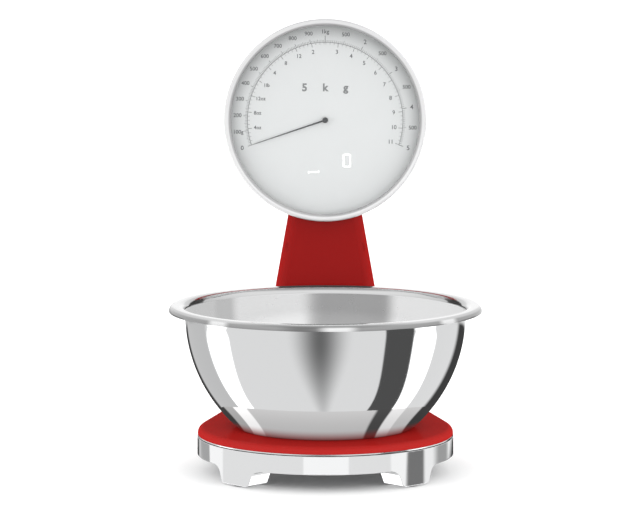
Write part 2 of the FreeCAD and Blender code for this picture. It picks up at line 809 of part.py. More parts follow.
def battery_door():
    """Sliding door under the bay; its ribbed end closes the notch in the rear wall."""
    half = dim.door_half_width
    bottom = dim.arch_top + 0.1
    plate = box((-half, DOOR_FRONT, bottom), (half, dim.base_rear - 0.2, DOOR_TOP))
    starts = [RIB_FRONT + RIB_PITCH * row for row in range(RIB_COUNT)]
    ribs = [
        box(
            (-RIB_HALF_LENGTH, y, bottom - RIB_HEIGHT),
            (RIB_HALF_LENGTH, y + RIB_WIDTH, bottom + 0.5),
        )
        for y in starts
    ]
    node("battery_door", in_bowl_frame(fuse(plate, *ribs)))


# ---------------------------------------------------------------- weighing platform

CARRIER_THICKNESS = 2.4
CARRIER_ARM_HALF = 8.0
CARRIER_REACH = 66.0
CARRIER_HUB = 26.0
PLATE_SCREWS = ((-43.0, -43.0), (43.0, -43.0), (-43.0, 43.0), (43.0, 43.0))
TRIM_WIDTH = 7.0
PLATE_INSET = 0.3
NECK_ROUND = 5.0
BELLY_RISE = 0.45  # the inner wall's corner shifts up by this share of the wall
FLOOR_DRAW = 0.39  # and the inner floor's corner shifts inwards by this share
UNDERSIDE_INSET = 3.2
LIP = 3.2  # wall along the seam, front to back
LIP_HALF_FRONT = 66.0
LIP_HALF_REAR = 62.0
PLATE_DRILL_TOP = 31.4  # the holes for the carrier's screws end inside the plate
CELL_EYE_RADIUS = 2.2
CELL_EYE_Y = 4.0
CELL_SLOT_HALF = 0.8
CELL_HEAD_HEIGHT = 1.8
CARRIER_HEAD_HEIGHT = 1.4
SPACER_LOW = (-6, -23.5)
SPACER_HIGH = (6, -11.5)
DRILL_LOW = 15.0
DRILL_HIGH = 40.0
DECK_OPENING = ((-47.5, 120, 20), (47.5, 150.5, 60))
BOWL_FLOOR_ROUND = 2.4


def load_cell():
    """Aluminium bending beam with two holes at each end and a thinned middle."""
    half = dim.cell_width / 2
    end = dim.cell_length / 2
    top = dim.cell_bottom + dim.cell_height
    beam = box((-half, -end, dim.cell_bottom), (half, end, top))
    middle = dim.cell_bottom + dim.cell_height / 2
    eyes = []
    reach = dim.cell_width.value
    for y in (-CELL_EYE_Y, CELL_EYE_Y):
        eye = doc.addObject("Part::Cylinder", "eye")
        eye.Radius = CELL_EYE_RADIUS
        eye.Height = 2 * reach
        eye.Placement = Placement(
            Vector(-reach, y, middle.value), Rotation(Vector(0, 1, 0), SQUARE_TURN)
        )
        eye.setExpression("Placement.Base.z", middle.text)
        eyes.append(eye)
    slot = box(
        (-reach, -CELL_EYE_Y, middle - CELL_SLOT_HALF),
        (reach, CELL_EYE_Y, middle + CELL_SLOT_HALF),
    )
    drill = holes(CELL_BOLTS_FIXED + CELL_BOLTS_FREE, BOLT_HOLE, DRILL_LOW, DRILL_HIGH)
    node("load_cell", in_bowl_frame(cut(beam, fuse(slot, *eyes), *drill)))
    cell_top = top.value
    fixed = [
        screw(
            x, y, cell_top + CELL_HEAD_HEIGHT, BOLT_HEAD_RADIUS, CELL_HEAD_HEIGHT,
            BOLT_RADIUS, 9.0,
        )
        for x, y in CELL_BOLTS_FIXED
    ]
    node("load_cell_base_screws", in_bowl_frame(gather(fixed)))


def platform_carrier():
    """Four-armed aluminium carrier, its spacer and the screws that pull it down."""
    top = PLATE_UNDERSIDE
    bottom = PLATE_UNDERSIDE - CARRIER_THICKNESS
    hub = cylinder(CARRIER_HUB, bottom, top)
    low = (-CARRIER_REACH, -CARRIER_ARM_HALF, bottom)
    high = (CARRIER_REACH, CARRIER_ARM_HALF, top)
    arms = [turned(box(low, high), angle) for angle in (45, 135)]
    drill = holes(CELL_BOLTS_FREE + PLATE_SCREWS, BOLT_HOLE, DRILL_LOW, DRILL_HIGH)
    node("platform_carrier", in_bowl_frame(cut(fuse(hub, *arms), *drill)))
    cell_top = dim.cell_bottom + dim.cell_height
    block = box((*SPACER_LOW, cell_top), (*SPACER_HIGH, bottom))
    drill = holes(CELL_BOLTS_FREE, BOLT_HOLE, DRILL_LOW, DRILL_HIGH)
    node("load_cell_spacer", in_bowl_frame(cut(block, *drill)))
    under = dim.cell_bottom.value
    free = [
        screw(
            x, y, under - CELL_HEAD_HEIGHT, BOLT_HEAD_RADIUS, CELL_HEAD_HEIGHT,
            BOLT_RADIUS, 10.8, False,
        )
        for x, y in CELL_BOLTS_FREE
    ]
    node("load_cell_platform_screws", in_bowl_frame(gather(free)))
    plate_screws = [
        screw(
            x, y, bottom.value - CARRIER_HEAD_HEIGHT, BOLT_HEAD_RADIUS, CARRIER_HEAD_HEIGHT,
            BOLT_RADIUS, 3.6, False,
        )
        for x, y in PLATE_SCREWS
    ]
    node("platform_screws", in_bowl_frame(gather(plate_screws)))


def rounded_cover(name, inset):
    """Shared form of platform plate and rear deck: a shallow red tray, upside down."""
    body = new_body(name + "_body")
    lower = PLATE_BOTTOM if name == "platform_plate" else dim.casting_top
    outside = teardrop(new_sketch(body, "XY_Plane", lower), as_size(inset))
    first = pad(body, outside, dim.plate_top - lower)
    fillet(body, first, dim.plate_round, at_height(dim.plate_top))
    under = teardrop(new_sketch(body, "XY_Plane", lower), as_size(inset + UNDERSIDE_INSET))
    pocket(body, under, PLATE_UNDERSIDE - lower, True)
    return body


def platform_plate():
    """Red weighing plate over the front of the teardrop, and the bright trim under it."""
    plate = rounded_cover("platform_plate", PLATE_INSET)
    behind = box((-FAR, dim.seam, 0), (FAR, dim.seam + FAR, FAR))
    lip = box(
        (-LIP_HALF_FRONT, dim.seam - LIP, PLATE_BOTTOM),
        (LIP_HALF_FRONT, dim.seam, PLATE_UNDERSIDE + 1),
    )
    drill = holes(PLATE_SCREWS, BOLT_HOLE, DRILL_LOW, PLATE_DRILL_TOP)
    solid = cut(fuse(cut(plate, behind), lip), *drill)
    node("platform_plate", in_bowl_frame(solid))
    body = new_body("platform_trim_body")
    outside = teardrop(new_sketch(body, "XY_Plane", TRIM_BOTTOM))
    pad(body, outside, dim.trim_height)
    inside = teardrop(new_sketch(body, "XY_Plane", PLATE_BOTTOM), as_size(TRIM_WIDTH))
    pocket(body, inside, dim.trim_height)
    behind = box((-FAR, dim.seam, 0), (FAR, dim.seam + FAR, FAR))
    node("platform_trim", in_bowl_frame(cut(body, behind)))


def rear_deck():
    """Fixed red deck behind the seam, with an opening under the column."""
    deck = rounded_cover("rear_deck", PLATE_INSET)
    front_edge = dim.seam + dim.seam_gap
    ahead = box((-FAR, -FAR, 0), (FAR, front_edge, FAR))
    lip = box(
        (-LIP_HALF_REAR, front_edge, dim.casting_top),
        (LIP_HALF_REAR, front_edge + LIP, PLATE_UNDERSIDE + 1),
    )
    opening = box(*DECK_OPENING)
    node("rear_deck", in_bowl_frame(cut(fuse(cut(deck, ahead), lip), opening)))


def bowl():
    """Spun steel mixing bowl: flat floor, one long belly arc and a rolled rim."""
    wall = dim.bowl_wall
    floor = dim.plate_top
    flange = dim.rim_top - wall
    belly = (dim.belly_corner_r, dim.belly_corner_z)
    neck = dim.bowl_neck_radius
    edge = dim.rim_radius - wall
    hem = dim.rim_top - dim.rim_drop
    body = new_body("bowl_body")
    revolve(body, (
        (0, floor),
        (dim.bowl_floor_radius, floor, BOWL_FLOOR_ROUND),
        (*belly, dim.bowl_belly_radius),
        (neck, flange, NECK_ROUND),
        (edge, flange, dim.rim_curl - wall),
        (edge, hem),
        (dim.rim_radius, hem),
        (dim.rim_radius, dim.rim_top, dim.rim_curl),
        (neck - wall, dim.rim_top, NECK_ROUND + wall),
        (belly[0] - wall, belly[1] + wall * BELLY_RISE, dim.bowl_belly_radius - wall),
        (dim.bowl_floor_radius - wall * FLOOR_DRAW, floor + wall, BOWL_FLOOR_ROUND - wall),
        (0, floor + wall),
    ))
    node("bowl", in_bowl_frame(body))


# ---------------------------------------------------------------- column

COLUMN_SCREWS = mirrored_pairs(((26.5, -96.0), (44.5, -196.0)))
COLUMN_BOSS_RADIUS = 4.0
SPINE_FRONT = -21.0
SPINE_WEB_FRONT = -29.0
SPINE_WEB_BACK = -31.0
SPINE_HALF_TOP = 18.0
SPINE_HALF_FOOT = 44.0
SPINE_TOP_Y = -46.0
SPINE_SHEET = 2.0
SPINE_NOTCH_TOP = 42.0
SPINE_HEAD_BOLTS = mirrored_pairs(((11.0, -66.0), (11.0, -53.0)))
HEAD_SLOT = ((-23.0, -80.0, -41.0), (23.0, -66.0, -20.0))
SPINE_BEND_Y = -80.0  # below this the channel widens towards its feet
SPINE_FOOT_LOW = 121.0
SPINE_FOOT_HIGH = 149.5
SPINE_FOOT_WIDTH = 14.0
SPINE_FOOT_STARTS = (-45.0, 31.0)
SPINE_FOOT_SHEET = 2.4
SPINE_NOTCH_HALF = 31.0
SPINE_HEAD_HEIGHT = 2.0
SHELL_GAP = 0.2
HEAD_BACK_ROUND = 20.0
COLUMN_TOP_Y = -60.0
COLUMN_BELOW_DECK = 12.0  # drawn this much too long, then trimmed to the deck
COVER_EDGE_ROUND = 1.6
COLUMN_HEAD_HEIGHT = 1.4
COLUMN_DRILL = (-60.0, -28.0)


def column_half_width(y):
    """Half width of the column at a height y of the head frame."""
    top_y = dim.bezel_radius
    slope = (dim.column_half_foot - dim.column_half_top) / (dim.column_reach - top_y)
    return dim.column_half_top + slope * (-as_size(y) - top_y)


def trapezoid(top_y, foot_y, inset):
    """Front view of the column between two heights."""
    top = column_half_width(top_y) - inset
    foot = column_half_width(foot_y) - inset
    return ((-foot, foot_y), (foot, foot_y), (top, top_y), (-top, top_y))


def head_filler(gap):
    """The head's outer form as a plain solid, for cutting the column to it."""
    radius = dim.housing_radius + gap
    back = -(dim.head_depth + gap)
    body = new_body("head_filler")
    revolve(body, ((0, 1), (radius, 1), (radius, back, HEAD_BACK_ROUND), (0, back)))
    return body


def above_deck():
    """Everything above the deck, drawn in the head frame for trimming the column's foot."""
    block = box((-100, -60, dim.plate_top), (100, 250, 400))
    keep = doc.addObject("Part::Feature", "above_deck")
    doc.recompute()
    shape = block.Shape.copy()
    shape.transformShape(head_placement().inverse().toMatrix())
    keep.Shape = shape
    return keep


def column_shells():
    """Red column: a front shell with rounded edges and the cover that closes its back."""
    foot_y = -(dim.column_reach + COLUMN_BELOW_DECK)
    top_y = as_size(COLUMN_TOP_Y)
    wall = dim.housing_wall
    cover_front = -(dim.column_back - wall)
    body = new_body("column_front_body")
    outside = outline(
        new_sketch(body, "XY_Plane", cover_front), trapezoid(top_y, foot_y, ZERO)
    )
    block = pad(body, outside, dim.column_back - wall - dim.column_front)
    front = -dim.column_front
    middle_y = (top_y.value + foot_y.value) / 2
    fillet(
        body, block, dim.column_round,
        lambda p: abs(p.z - front.value) < 1e-3 and abs(p.x) > 5 and abs(p.y - middle_y) < 5,
    )
    room = outline(
        new_sketch(body, "XY_Plane", cover_front),
        trapezoid(top_y + 5, foot_y - 5, wall),
    )
    hollow = pocket(body, room, dim.column_back - 2 * wall - dim.column_front, True)
    inner_front = front.value - wall.value
    fillet(
        body, hollow, dim.column_round - wall,
        lambda p: abs(p.z - inner_front) < 1e-3 and abs(p.x) > 5 and abs(p.y - middle_y) < 5,
    )
    bosses = holes(COLUMN_SCREWS, COLUMN_BOSS_RADIUS, cover_front, front - 1)
    shell = common(fuse(body, *bosses), above_deck())
    drill = holes(COLUMN_SCREWS, BOLT_HOLE, *COLUMN_DRILL)
    filler = head_filler(as_size(SHELL_GAP))
    node("column_front_shell", in_head_frame(cut(shell, filler, *drill)))

    cover_body = new_body("column_cover_body")
    plate = outline(
        new_sketch(cover_body, "XY_Plane", -dim.column_back), trapezoid(top_y, foot_y, ZERO)
    )
    slab = pad(cover_body, plate, wall)
    fillet(
        cover_body, slab, COVER_EDGE_ROUND,
        lambda p: abs(p.z + dim.column_back.value) < 1e-3 and abs(p.x) > 5,
    )
    cover = common(cover_body, above_deck())
    drill = holes(COLUMN_SCREWS, BOLT_HOLE, *COLUMN_DRILL)
    seat = -(dim.column_back - COLUMN_HEAD_HEIGHT)
    drill += holes(COLUMN_SCREWS, BOLT_HEAD_RADIUS + HEAD_PLAY, COLUMN_DRILL[0], seat)
    filler = head_filler(as_size(SHELL_GAP))
    node("column_rear_cover", in_head_frame(cut(cover, filler, *drill)))
    head_face = -dim.column_back.value
    screws = [
        screw(x, y, head_face, BOLT_HEAD_RADIUS, COLUMN_HEAD_HEIGHT, BOLT_RADIUS, 11.0, False)
        for x, y in COLUMN_SCREWS
    ]
    node("column_cover_screws", in_head_frame(gather(screws)))


def column_spine():
    """Steel channel that carries the head, with two feet bolted to the base web."""
    foot_y = -(dim.column_reach + 16)
    edge = ((-SPINE_HALF_FOOT, foot_y), (SPINE_HALF_FOOT, foot_y))
    narrow = ((SPINE_HALF_TOP, SPINE_BEND_Y), (SPINE_HALF_TOP, SPINE_TOP_Y))
    mirrored = ((-SPINE_HALF_TOP, SPINE_TOP_Y), (-SPINE_HALF_TOP, SPINE_BEND_Y))
    body = new_body("spine_body")
    outside = outline(new_sketch(body, "XY_Plane", SPINE_WEB_BACK), edge + narrow + mirrored)
    pad(body, outside, SPINE_FRONT - SPINE_WEB_BACK)
    half_foot = SPINE_HALF_FOOT - SPINE_SHEET
    half_top = SPINE_HALF_TOP - SPINE_SHEET
    inner = (
        (-half_foot - 1, foot_y - 5), (half_foot + 1, foot_y - 5), (half_top, SPINE_BEND_Y),
        (half_top, SPINE_TOP_Y + 5), (-half_top, SPINE_TOP_Y + 5), (-half_top, SPINE_BEND_Y),
    )
    room = outline(new_sketch(body, "XY_Plane", SPINE_FRONT), inner)
    pocket(body, room, SPINE_FRONT - SPINE_WEB_FRONT)
    drill = holes(SPINE_HEAD_BOLTS, BOLT_HOLE, SPINE_WEB_BACK - 1, SPINE_FRONT + 1)
    channel = in_head_frame(cut(body, *drill))
    foot_top = dim.web_top + SPINE_FOOT_SHEET
    spine_feet = in_bowl_frame(gather([
        box((x, SPINE_FOOT_LOW, dim.web_top), (x + SPINE_FOOT_WIDTH, SPINE_FOOT_HIGH, foot_top))
        for x in SPINE_FOOT_STARTS
    ]))
    half = SPINE_NOTCH_HALF
    away = in_bowl_frame(gather([
        box((-half, 0, 0), (half, dim.base_rear, SPINE_NOTCH_TOP)),
        box((-FAR, 0, 0), (FAR, dim.base_rear + FAR, dim.web_top)),
        *holes(SPINE_BOLTS, BOLT_HOLE, dim.web_top - 1, foot_top + 1),
    ]))
    spine = cut(fuse(channel, spine_feet), away)
    node("column_spine", spine)
    base_screws = [
        screw(
            x, y, foot_top.value + SPINE_HEAD_HEIGHT, BOLT_HEAD_RADIUS, SPINE_HEAD_HEIGHT,
            BOLT_RADIUS, 4.8,
        )
        for x, y in SPINE_BOLTS
    ]
    node("spine_base_screws", in_bowl_frame(gather(base_screws)))
    head_screws = [
        screw(
            x, y, SPINE_WEB_BACK - SPINE_HEAD_HEIGHT, BOLT_HEAD_RADIUS, SPINE_HEAD_HEIGHT,
            BOLT_RADIUS, 8.0, False,
        )
        for x, y in SPINE_HEAD_BOLTS
    ]
    node("spine_head_screws", in_head_frame(gather(head_screws)))


# ---------------------------------------------------------------- head

CHASSIS_RADIUS = 72.8
CHASSIS_FRONT = -17.0
CHASSIS_BACK = -20.0
DISPLAY_LOW = (-22.0, -44.0, -19.0)
DISPLAY_HIGH = (27.0, -23.0, -10.6)
BOARD_LOW = (-36.0, 22.0, -24.6)
BOARD_HIGH = (36.0, 54.0, -23.0)
BOARD_BOLTS = mirrored_pairs(((32.0, 26.0), (32.0, 50.0)))
MOTOR_X = -17.5
MOTOR_BOLTS = ((MOTOR_X, -13.0), (MOTOR_X, 13.0))
HOUSING_BOLTS = mirrored_pairs(((43.8, 43.8), (43.8, -43.8)))
BUTTON_PLACES = {"power_button": (-13.0, 31.0), "unit_button": (13.0, 31.0)}
BUTTON_RADIUS = 6.0
BUTTON_PLAY = 0.2
BUTTON_BOARD_LOW = (-29.0, 18.0, -36.6)
BUTTON_BOARD_HIGH = (29.0, 44.0, -35.0)
BUTTON_BOARD_BOLTS = mirrored_pairs(((25.0, 22.0), (25.0, 40.0)))
BUSH_RADIUS = 3.0
POINTER_HUB = 2.1
POST_RADIUS = 3.0
POST_DRILL_END = -43.0
WELL_RADIUS = 4.5
HOUSING_SEAT = -44.0
HOUSING_HEAD_HEIGHT = 2.5
GASKET_INSET = 0.6


def bezel():
    """Chromed ring that holds the glass, rounded towards the front."""
    body = new_body("bezel_body")
    inner_wall = dim.stack_radius + 0.1
    revolve(body, (
        (dim.bezel_opening, -dim.glass_front),
        (inner_wall, -dim.glass_front),
        (inner_wall, -dim.bezel_depth),
        (dim.bezel_radius, -dim.bezel_depth),
        (dim.bezel_radius, 0, 2.2),
        (dim.bezel_opening, 0, 1.0),
    ))
    node("bezel", in_head_frame(body))


def dial_stack():
    """Glass, dark gasket and dial plate, front to back."""
    glass = cylinder(dim.stack_radius, GLASS_BACK, -dim.glass_front)
    node("dial_glass", in_head_frame(gather([glass])))
    gasket = ring(dim.stack_radius, dim.bezel_opening + GASKET_INSET, DIAL_FRONT, GLASS_BACK)
    node("glass_gasket", in_head_frame(gasket))
    plate = cylinder(dim.stack_radius, DIAL_BACK, DIAL_FRONT)
    node("dial_plate", in_head_frame(cut(plate, cylinder(2.2, -20, 0))))


def head_chassis():
    """Moulded frame behind the dial with the seats of everything inside the head."""
    plate = cylinder(CHASSIS_RADIUS, CHASSIS_BACK, CHASSIS_FRONT)
    rim = ring(CHASSIS_RADIUS, CHASSIS_RADIUS - 2.5, CHASSIS_FRONT - 0.5, DIAL_BACK)
    overlap = CHASSIS_BACK + 0.5
    posts = holes(SPINE_HEAD_BOLTS, 4.0, SPINE_WEB_FRONT, overlap)
    posts += holes(BOARD_BOLTS, 3.0, BOARD_HIGH[2], overlap)
    posts += holes(MOTOR_BOLTS, 2.6, -25.0, overlap)
    window = box(
        (DISPLAY_LOW[0] - 0.3, DISPLAY_LOW[1] - 0.3, -30),
        (DISPLAY_HIGH[0] + 0.3, DISPLAY_HIGH[1] + 0.3, -5),
    )
    behind = SPINE_WEB_FRONT - 1
    drill = holes(SPINE_HEAD_BOLTS, BOLT_HOLE, behind, CHASSIS_FRONT - 1.5)
    drill += holes(BOARD_BOLTS + list(MOTOR_BOLTS), SMALL_HOLE, behind, CHASSIS_FRONT - 1)
    drill += holes(HOUSING_BOLTS, BOLT_HOLE, behind, CHASSIS_FRONT + 1)
    drill.append(cylinder(BUSH_RADIUS, behind, CHASSIS_FRONT + 1))
    solid = cut(fuse(plate, rim, *posts), window, *drill)
    node("head_chassis", in_head_frame(solid))


def head_housing():
    """Red rear shell of the head with button holes, screw wells and the column slot."""
    wall = dim.housing_wall
    back = -dim.head_depth
    front = -dim.bezel_depth
    body = new_body("head_housing_body")
    revolve(body, (
        (0, back), (dim.housing_radius, back, HEAD_BACK_ROUND), (dim.housing_radius, front),
        (dim.housing_radius - wall, front),
        (dim.housing_radius - wall, back + wall, HEAD_BACK_ROUND - wall),
        (0, back + wall),
    ))
    wells = holes(HOUSING_BOLTS, WELL_RADIUS, back + wall + 0.1, CHASSIS_BACK)
    posts = holes(BUTTON_BOARD_BOLTS, POST_RADIUS, back + wall - 0.5, BUTTON_BOARD_LOW[2])
    tools = [box(*HEAD_SLOT)]
    tools += holes(HOUSING_BOLTS, BOLT_HEAD_RADIUS + 0.3, back - 1, HOUSING_SEAT)
    tools += holes(HOUSING_BOLTS, BOLT_HOLE, back - 1, front)
    tools += holes(BUTTON_BOARD_BOLTS, SMALL_HOLE, POST_DRILL_END, BUTTON_BOARD_HIGH[2])
    tools += holes(BUTTON_PLACES.values(), BUTTON_RADIUS + BUTTON_PLAY, back - 1, back + 8)
    node("head_housing", in_head_frame(cut(fuse(body, *wells, *posts), *tools)))
    screws = [
        screw(
            x, y, HOUSING_SEAT - HOUSING_HEAD_HEIGHT, BOLT_HEAD_RADIUS, HOUSING_HEAD_HEIGHT,
            BOLT_RADIUS, 26.0, False,
        )
        for x, y in HOUSING_BOLTS
    ]
    node("head_housing_screws", in_head_frame(gather(screws)))


def electronics():
    """Display module, main board with its parts, and the button board."""
    node("led_display", in_head_frame(cut(
        box(DISPLAY_LOW, DISPLAY_HIGH), box((-20, -42, -11.1), (25, -25, -10)),
    )))
    through = holes(BOARD_BOLTS, SMALL_HOLE, BOARD_LOW[2] - 1, BOARD_HIGH[2] + 1)
    board = cut(box(BOARD_LOW, BOARD_HIGH), *through)
    node("main_board", in_head_frame(board))
    back = BOARD_LOW[2]
    parts = [
        box((-8, 34, back - 1.6), (4, 46, back)),
        box((-27, 38, back - 1.4), (-17, 44, back)),
        cylinder(3.0, back - 4.4, back, 20, 47),
        cylinder(3.0, back - 4.4, back, 27.5, 40),
        box((8, 22.5, back - 5.4), (16, 28.5, back)),
        box((19.5, 22.5, back - 5.4), (27.5, 28.5, back)),
        box((-16, 22.5, back - 5.4), (-8, 28.5, back)),
    ]
    node("board_components", in_head_frame(gather(parts)))
    screws = [
        small_screw(x, y, back - SMALL_HEAD_HEIGHT, 5.0, False) for x, y in BOARD_BOLTS
    ]
    node("main_board_screws", in_head_frame(gather(screws)))
    low = BUTTON_BOARD_LOW
    high = BUTTON_BOARD_HIGH
    through = holes(BUTTON_BOARD_BOLTS, SMALL_HOLE, low[2] - 1, high[2] + 1)
    button_board = cut(box(low, high), *through)
    node("button_board", in_head_frame(button_board))
    face = BUTTON_BOARD_LOW[2]
    switches = []
    for x, y in BUTTON_PLACES.values():
        case = box((x - 3, y - 3, face - 3.0), (x + 3, y + 3, face))
        switches.append(fuse(case, cylinder(1.7, face - 3.8, face - 2.5, x, y)))
    node("tactile_switches", in_head_frame(gather(switches)))
    screws = [
        small_screw(x, y, high[2] + SMALL_HEAD_HEIGHT, 5.0) for x, y in BUTTON_BOARD_BOLTS
    ]
    node("button_board_screws", in_head_frame(gather(screws)))


def buttons():
    """Two push buttons in the back of the head: domed cap, collar and stem."""
    wall_inside = -(dim.head_depth - dim.housing_wall)
    for name, (x, y) in BUTTON_PLACES.items():
        body = new_body(name + "_body")
        collar = wall_inside + BUTTON_PLAY
        cap_back = -(dim.head_depth + 1.5)
        revolve(body, (
            (0, cap_back), (BUTTON_RADIUS, cap_back, 1.2), (BUTTON_RADIUS, collar),
            (BUTTON_RADIUS + 1.2, collar), (BUTTON_RADIUS + 1.2, collar + 1.2),
            (1.8, collar + 1.2), (1.8, -41.6), (0, -41.6),
        ))
        move(body, x, y, 0)
        node(name, in_head_frame(gather((body,))))


# ---------------------------------------------------------------- pointer drive


TIP_SHARE = 0.75  # tooth above the pitch circle, of the module
ROOT_SHARE = 1.25  # tooth gap below the pitch circle, of the module
GAP_ROOT = 0.30  # half width of a tooth gap at its root
WHEEL_GAP_TIP = 0.62
PINION_GAP_TIP = 0.66
WHEEL_BACK = -23.2
WHEEL_FRONT = -21.4
WHEEL_HUB_RADIUS = 3.4
WINDOW_RADIUS = 3.2
WINDOW_CIRCLE = 9.0
PINION_BACK = -23.4
PINION_FRONT = -21.0
SHAFT_RADIUS = 0.9
SHAFT_END = -26.0
ARBOR_BACK = -24.2
ARBOR_FRONT = -6.8
ARBOR_PLAY = 0.04
BUSH_BACK = -20.4
BUSH_FRONT = -16.2
BUSH_FLANGE_RADIUS = 4.6
MOTOR_RADIUS = 9.8
MOTOR_BACK = -36.0
FLANGE_BACK = -26.3
FLANGE_FRONT = -25.0
NEEDLE_BACK = -8.0
NEEDLE_FRONT = -7.5
NEEDLE_HALF_ROOT = 0.62
NEEDLE_HALF_TIP = 0.2
NEEDLE_START = 1.2
CAP_FRONT = -5.9
CAP_ROUND = 0.6


def gear_blank(name, teeth, bottom, top, gap_root, gap_tip, turn):
    """A spur wheel: a disc whose tooth gaps are one pocket repeated around the axis."""
    pitch = dim.gear_module * teeth / 2
    tip = pitch + dim.gear_module * TIP_SHARE
    root = pitch - dim.gear_module * ROOT_SHARE
    body = new_body(name)
    pad(body, circle(new_sketch(body, "XY_Plane", bottom), tip), as_size(top) - bottom)
    sketch = new_sketch(body, "XY_Plane", top)
    outline(sketch, (
        (root, -gap_root), (tip + 0.3, -gap_tip), (tip + 0.3, gap_tip), (root, gap_root),
    ))
    gap = pocket(body, sketch, as_size(top) - bottom)
    pattern = body.newObject("PartDesign::PolarPattern", "teeth")
    pattern.Originals = [gap]
    pattern.Axis = (sketch, ["N_Axis"])
    pattern.Angle = 360
    pattern.Occurrences = int(teeth.value)
    body.Tip = pattern
    doc.recompute()
    body.Placement = Placement(Vector(0, 0, 0), Rotation(Vector(0, 0, 1), turn))
    return body


def pointer_drive():
    """Stepper motor, pinion, wheel, arbor and bush that turn the needle."""
    wheel = gear_blank(
        "wheel_body", dim.wheel_teeth, WHEEL_BACK, WHEEL_FRONT, GAP_ROOT, WHEEL_GAP_TIP, 0
    )
    windows = [
        cylinder(
            WINDOW_RADIUS, WHEEL_BACK - 1, WHEEL_FRONT + 1,
            WINDOW_CIRCLE * math.cos(a), WINDOW_CIRCLE * math.sin(a),
        )
        for a in (math.radians(60 * k + 30) for k in range(6))
    ]
    hub = cylinder(WHEEL_HUB_RADIUS, ARBOR_BACK, WHEEL_FRONT + 0.5)
    bore = cylinder(dim.arbor_radius, ARBOR_BACK - 1, WHEEL_FRONT + 1)
    node("pointer_gear", in_head_frame(cut(fuse(wheel, hub), bore, *windows)))
    arbor = cylinder(dim.arbor_radius, ARBOR_BACK, ARBOR_FRONT)
    node("pointer_arbor", in_head_frame(gather([arbor])))
    sleeve = fuse(
        cylinder(BUSH_RADIUS, BUSH_BACK, CHASSIS_FRONT),
        cylinder(BUSH_FLANGE_RADIUS, CHASSIS_FRONT, BUSH_FRONT),
    )
    room = cylinder(dim.arbor_radius + ARBOR_PLAY, BUSH_BACK - 1, BUSH_FRONT + 1)
    node("arbor_bush", in_head_frame(cut(sleeve, room)))

    pinion = gear_blank(
        "pinion_body", dim.pinion_teeth, PINION_BACK, PINION_FRONT,
        GAP_ROOT, PINION_GAP_TIP, 180 / dim.pinion_teeth.value,
    )
    shaft = cylinder(SHAFT_RADIUS, SHAFT_END, PINION_FRONT + 0.5)
    pinion_solid = fuse(pinion, shaft)
    move(pinion_solid, MOTOR_X, 0, 0)
    node("motor_pinion", in_head_frame(gather((pinion_solid,))))

    can = cylinder(MOTOR_RADIUS, MOTOR_BACK, FLANGE_BACK + 0.1, MOTOR_X, 0)
    flange = fuse(
        box((MOTOR_X - 4, -15.5, FLANGE_BACK), (MOTOR_X + 4, 15.5, FLANGE_FRONT)),
        cylinder(MOTOR_RADIUS, FLANGE_BACK, FLANGE_FRONT, MOTOR_X, 0),
    )
    drill = holes(MOTOR_BOLTS, SMALL_HOLE, FLANGE_BACK - 1, FLANGE_FRONT + 1)
    shaft_room = cylinder(SHAFT_RADIUS + 0.1, SHAFT_END - 0.1, FLANGE_FRONT + 1, MOTOR_X, 0)
    node("pointer_motor", in_head_frame(cut(fuse(can, flange), shaft_room, *drill)))
    screws = [
        small_screw(x, y, FLANGE_BACK - SMALL_HEAD_HEIGHT, 6.0, False) for x, y in MOTOR_BOLTS
    ]
    node("motor_screws", in_head_frame(gather(screws)))


def pointer():
    """Tapered needle on a small disc, and the cap over the arbor."""
    body = new_body("pointer_body")
    reach = dim.pointer_length
    sketch = new_sketch(body, "XY_Plane", NEEDLE_BACK)
    outline(sketch, (
        (NEEDLE_START, -NEEDLE_HALF_ROOT), (reach, -NEEDLE_HALF_TIP),
        (reach, NEEDLE_HALF_TIP), (NEEDLE_START, NEEDLE_HALF_ROOT),
    ))
    pad(body, sketch, NEEDLE_FRONT - NEEDLE_BACK)
    disc = cylinder(POINTER_HUB, NEEDLE_BACK, NEEDLE_FRONT)
    bore = cylinder(dim.arbor_radius, NEEDLE_BACK - 1, NEEDLE_FRONT + 1)
    needle = cut(fuse(body, disc), bore)
    node("pointer", in_head_frame(gather([turned(needle, dim.zero_angle)])))
    cap = new_body("pointer_cap_body")
    revolve(cap, (
        (dim.arbor_radius, NEEDLE_FRONT), (POINTER_HUB, NEEDLE_FRONT),
        (POINTER_HUB, CAP_FRONT, CAP_ROUND), (0, CAP_FRONT), (0, ARBOR_FRONT),
        (dim.arbor_radius, ARBOR_FRONT),
    ))
    node("pointer_cap", in_head_frame(cap))


# ---------------------------------------------------------------- wiring


def in_row(x, y, z, head=False):
    """A point of the bowl frame or the head frame in the part's own frame."""
    if head:
        return head_placement().multVec(Vector(x, y, z))
    return Vector(x, y + BOWL_AXIS_Y.value, z)


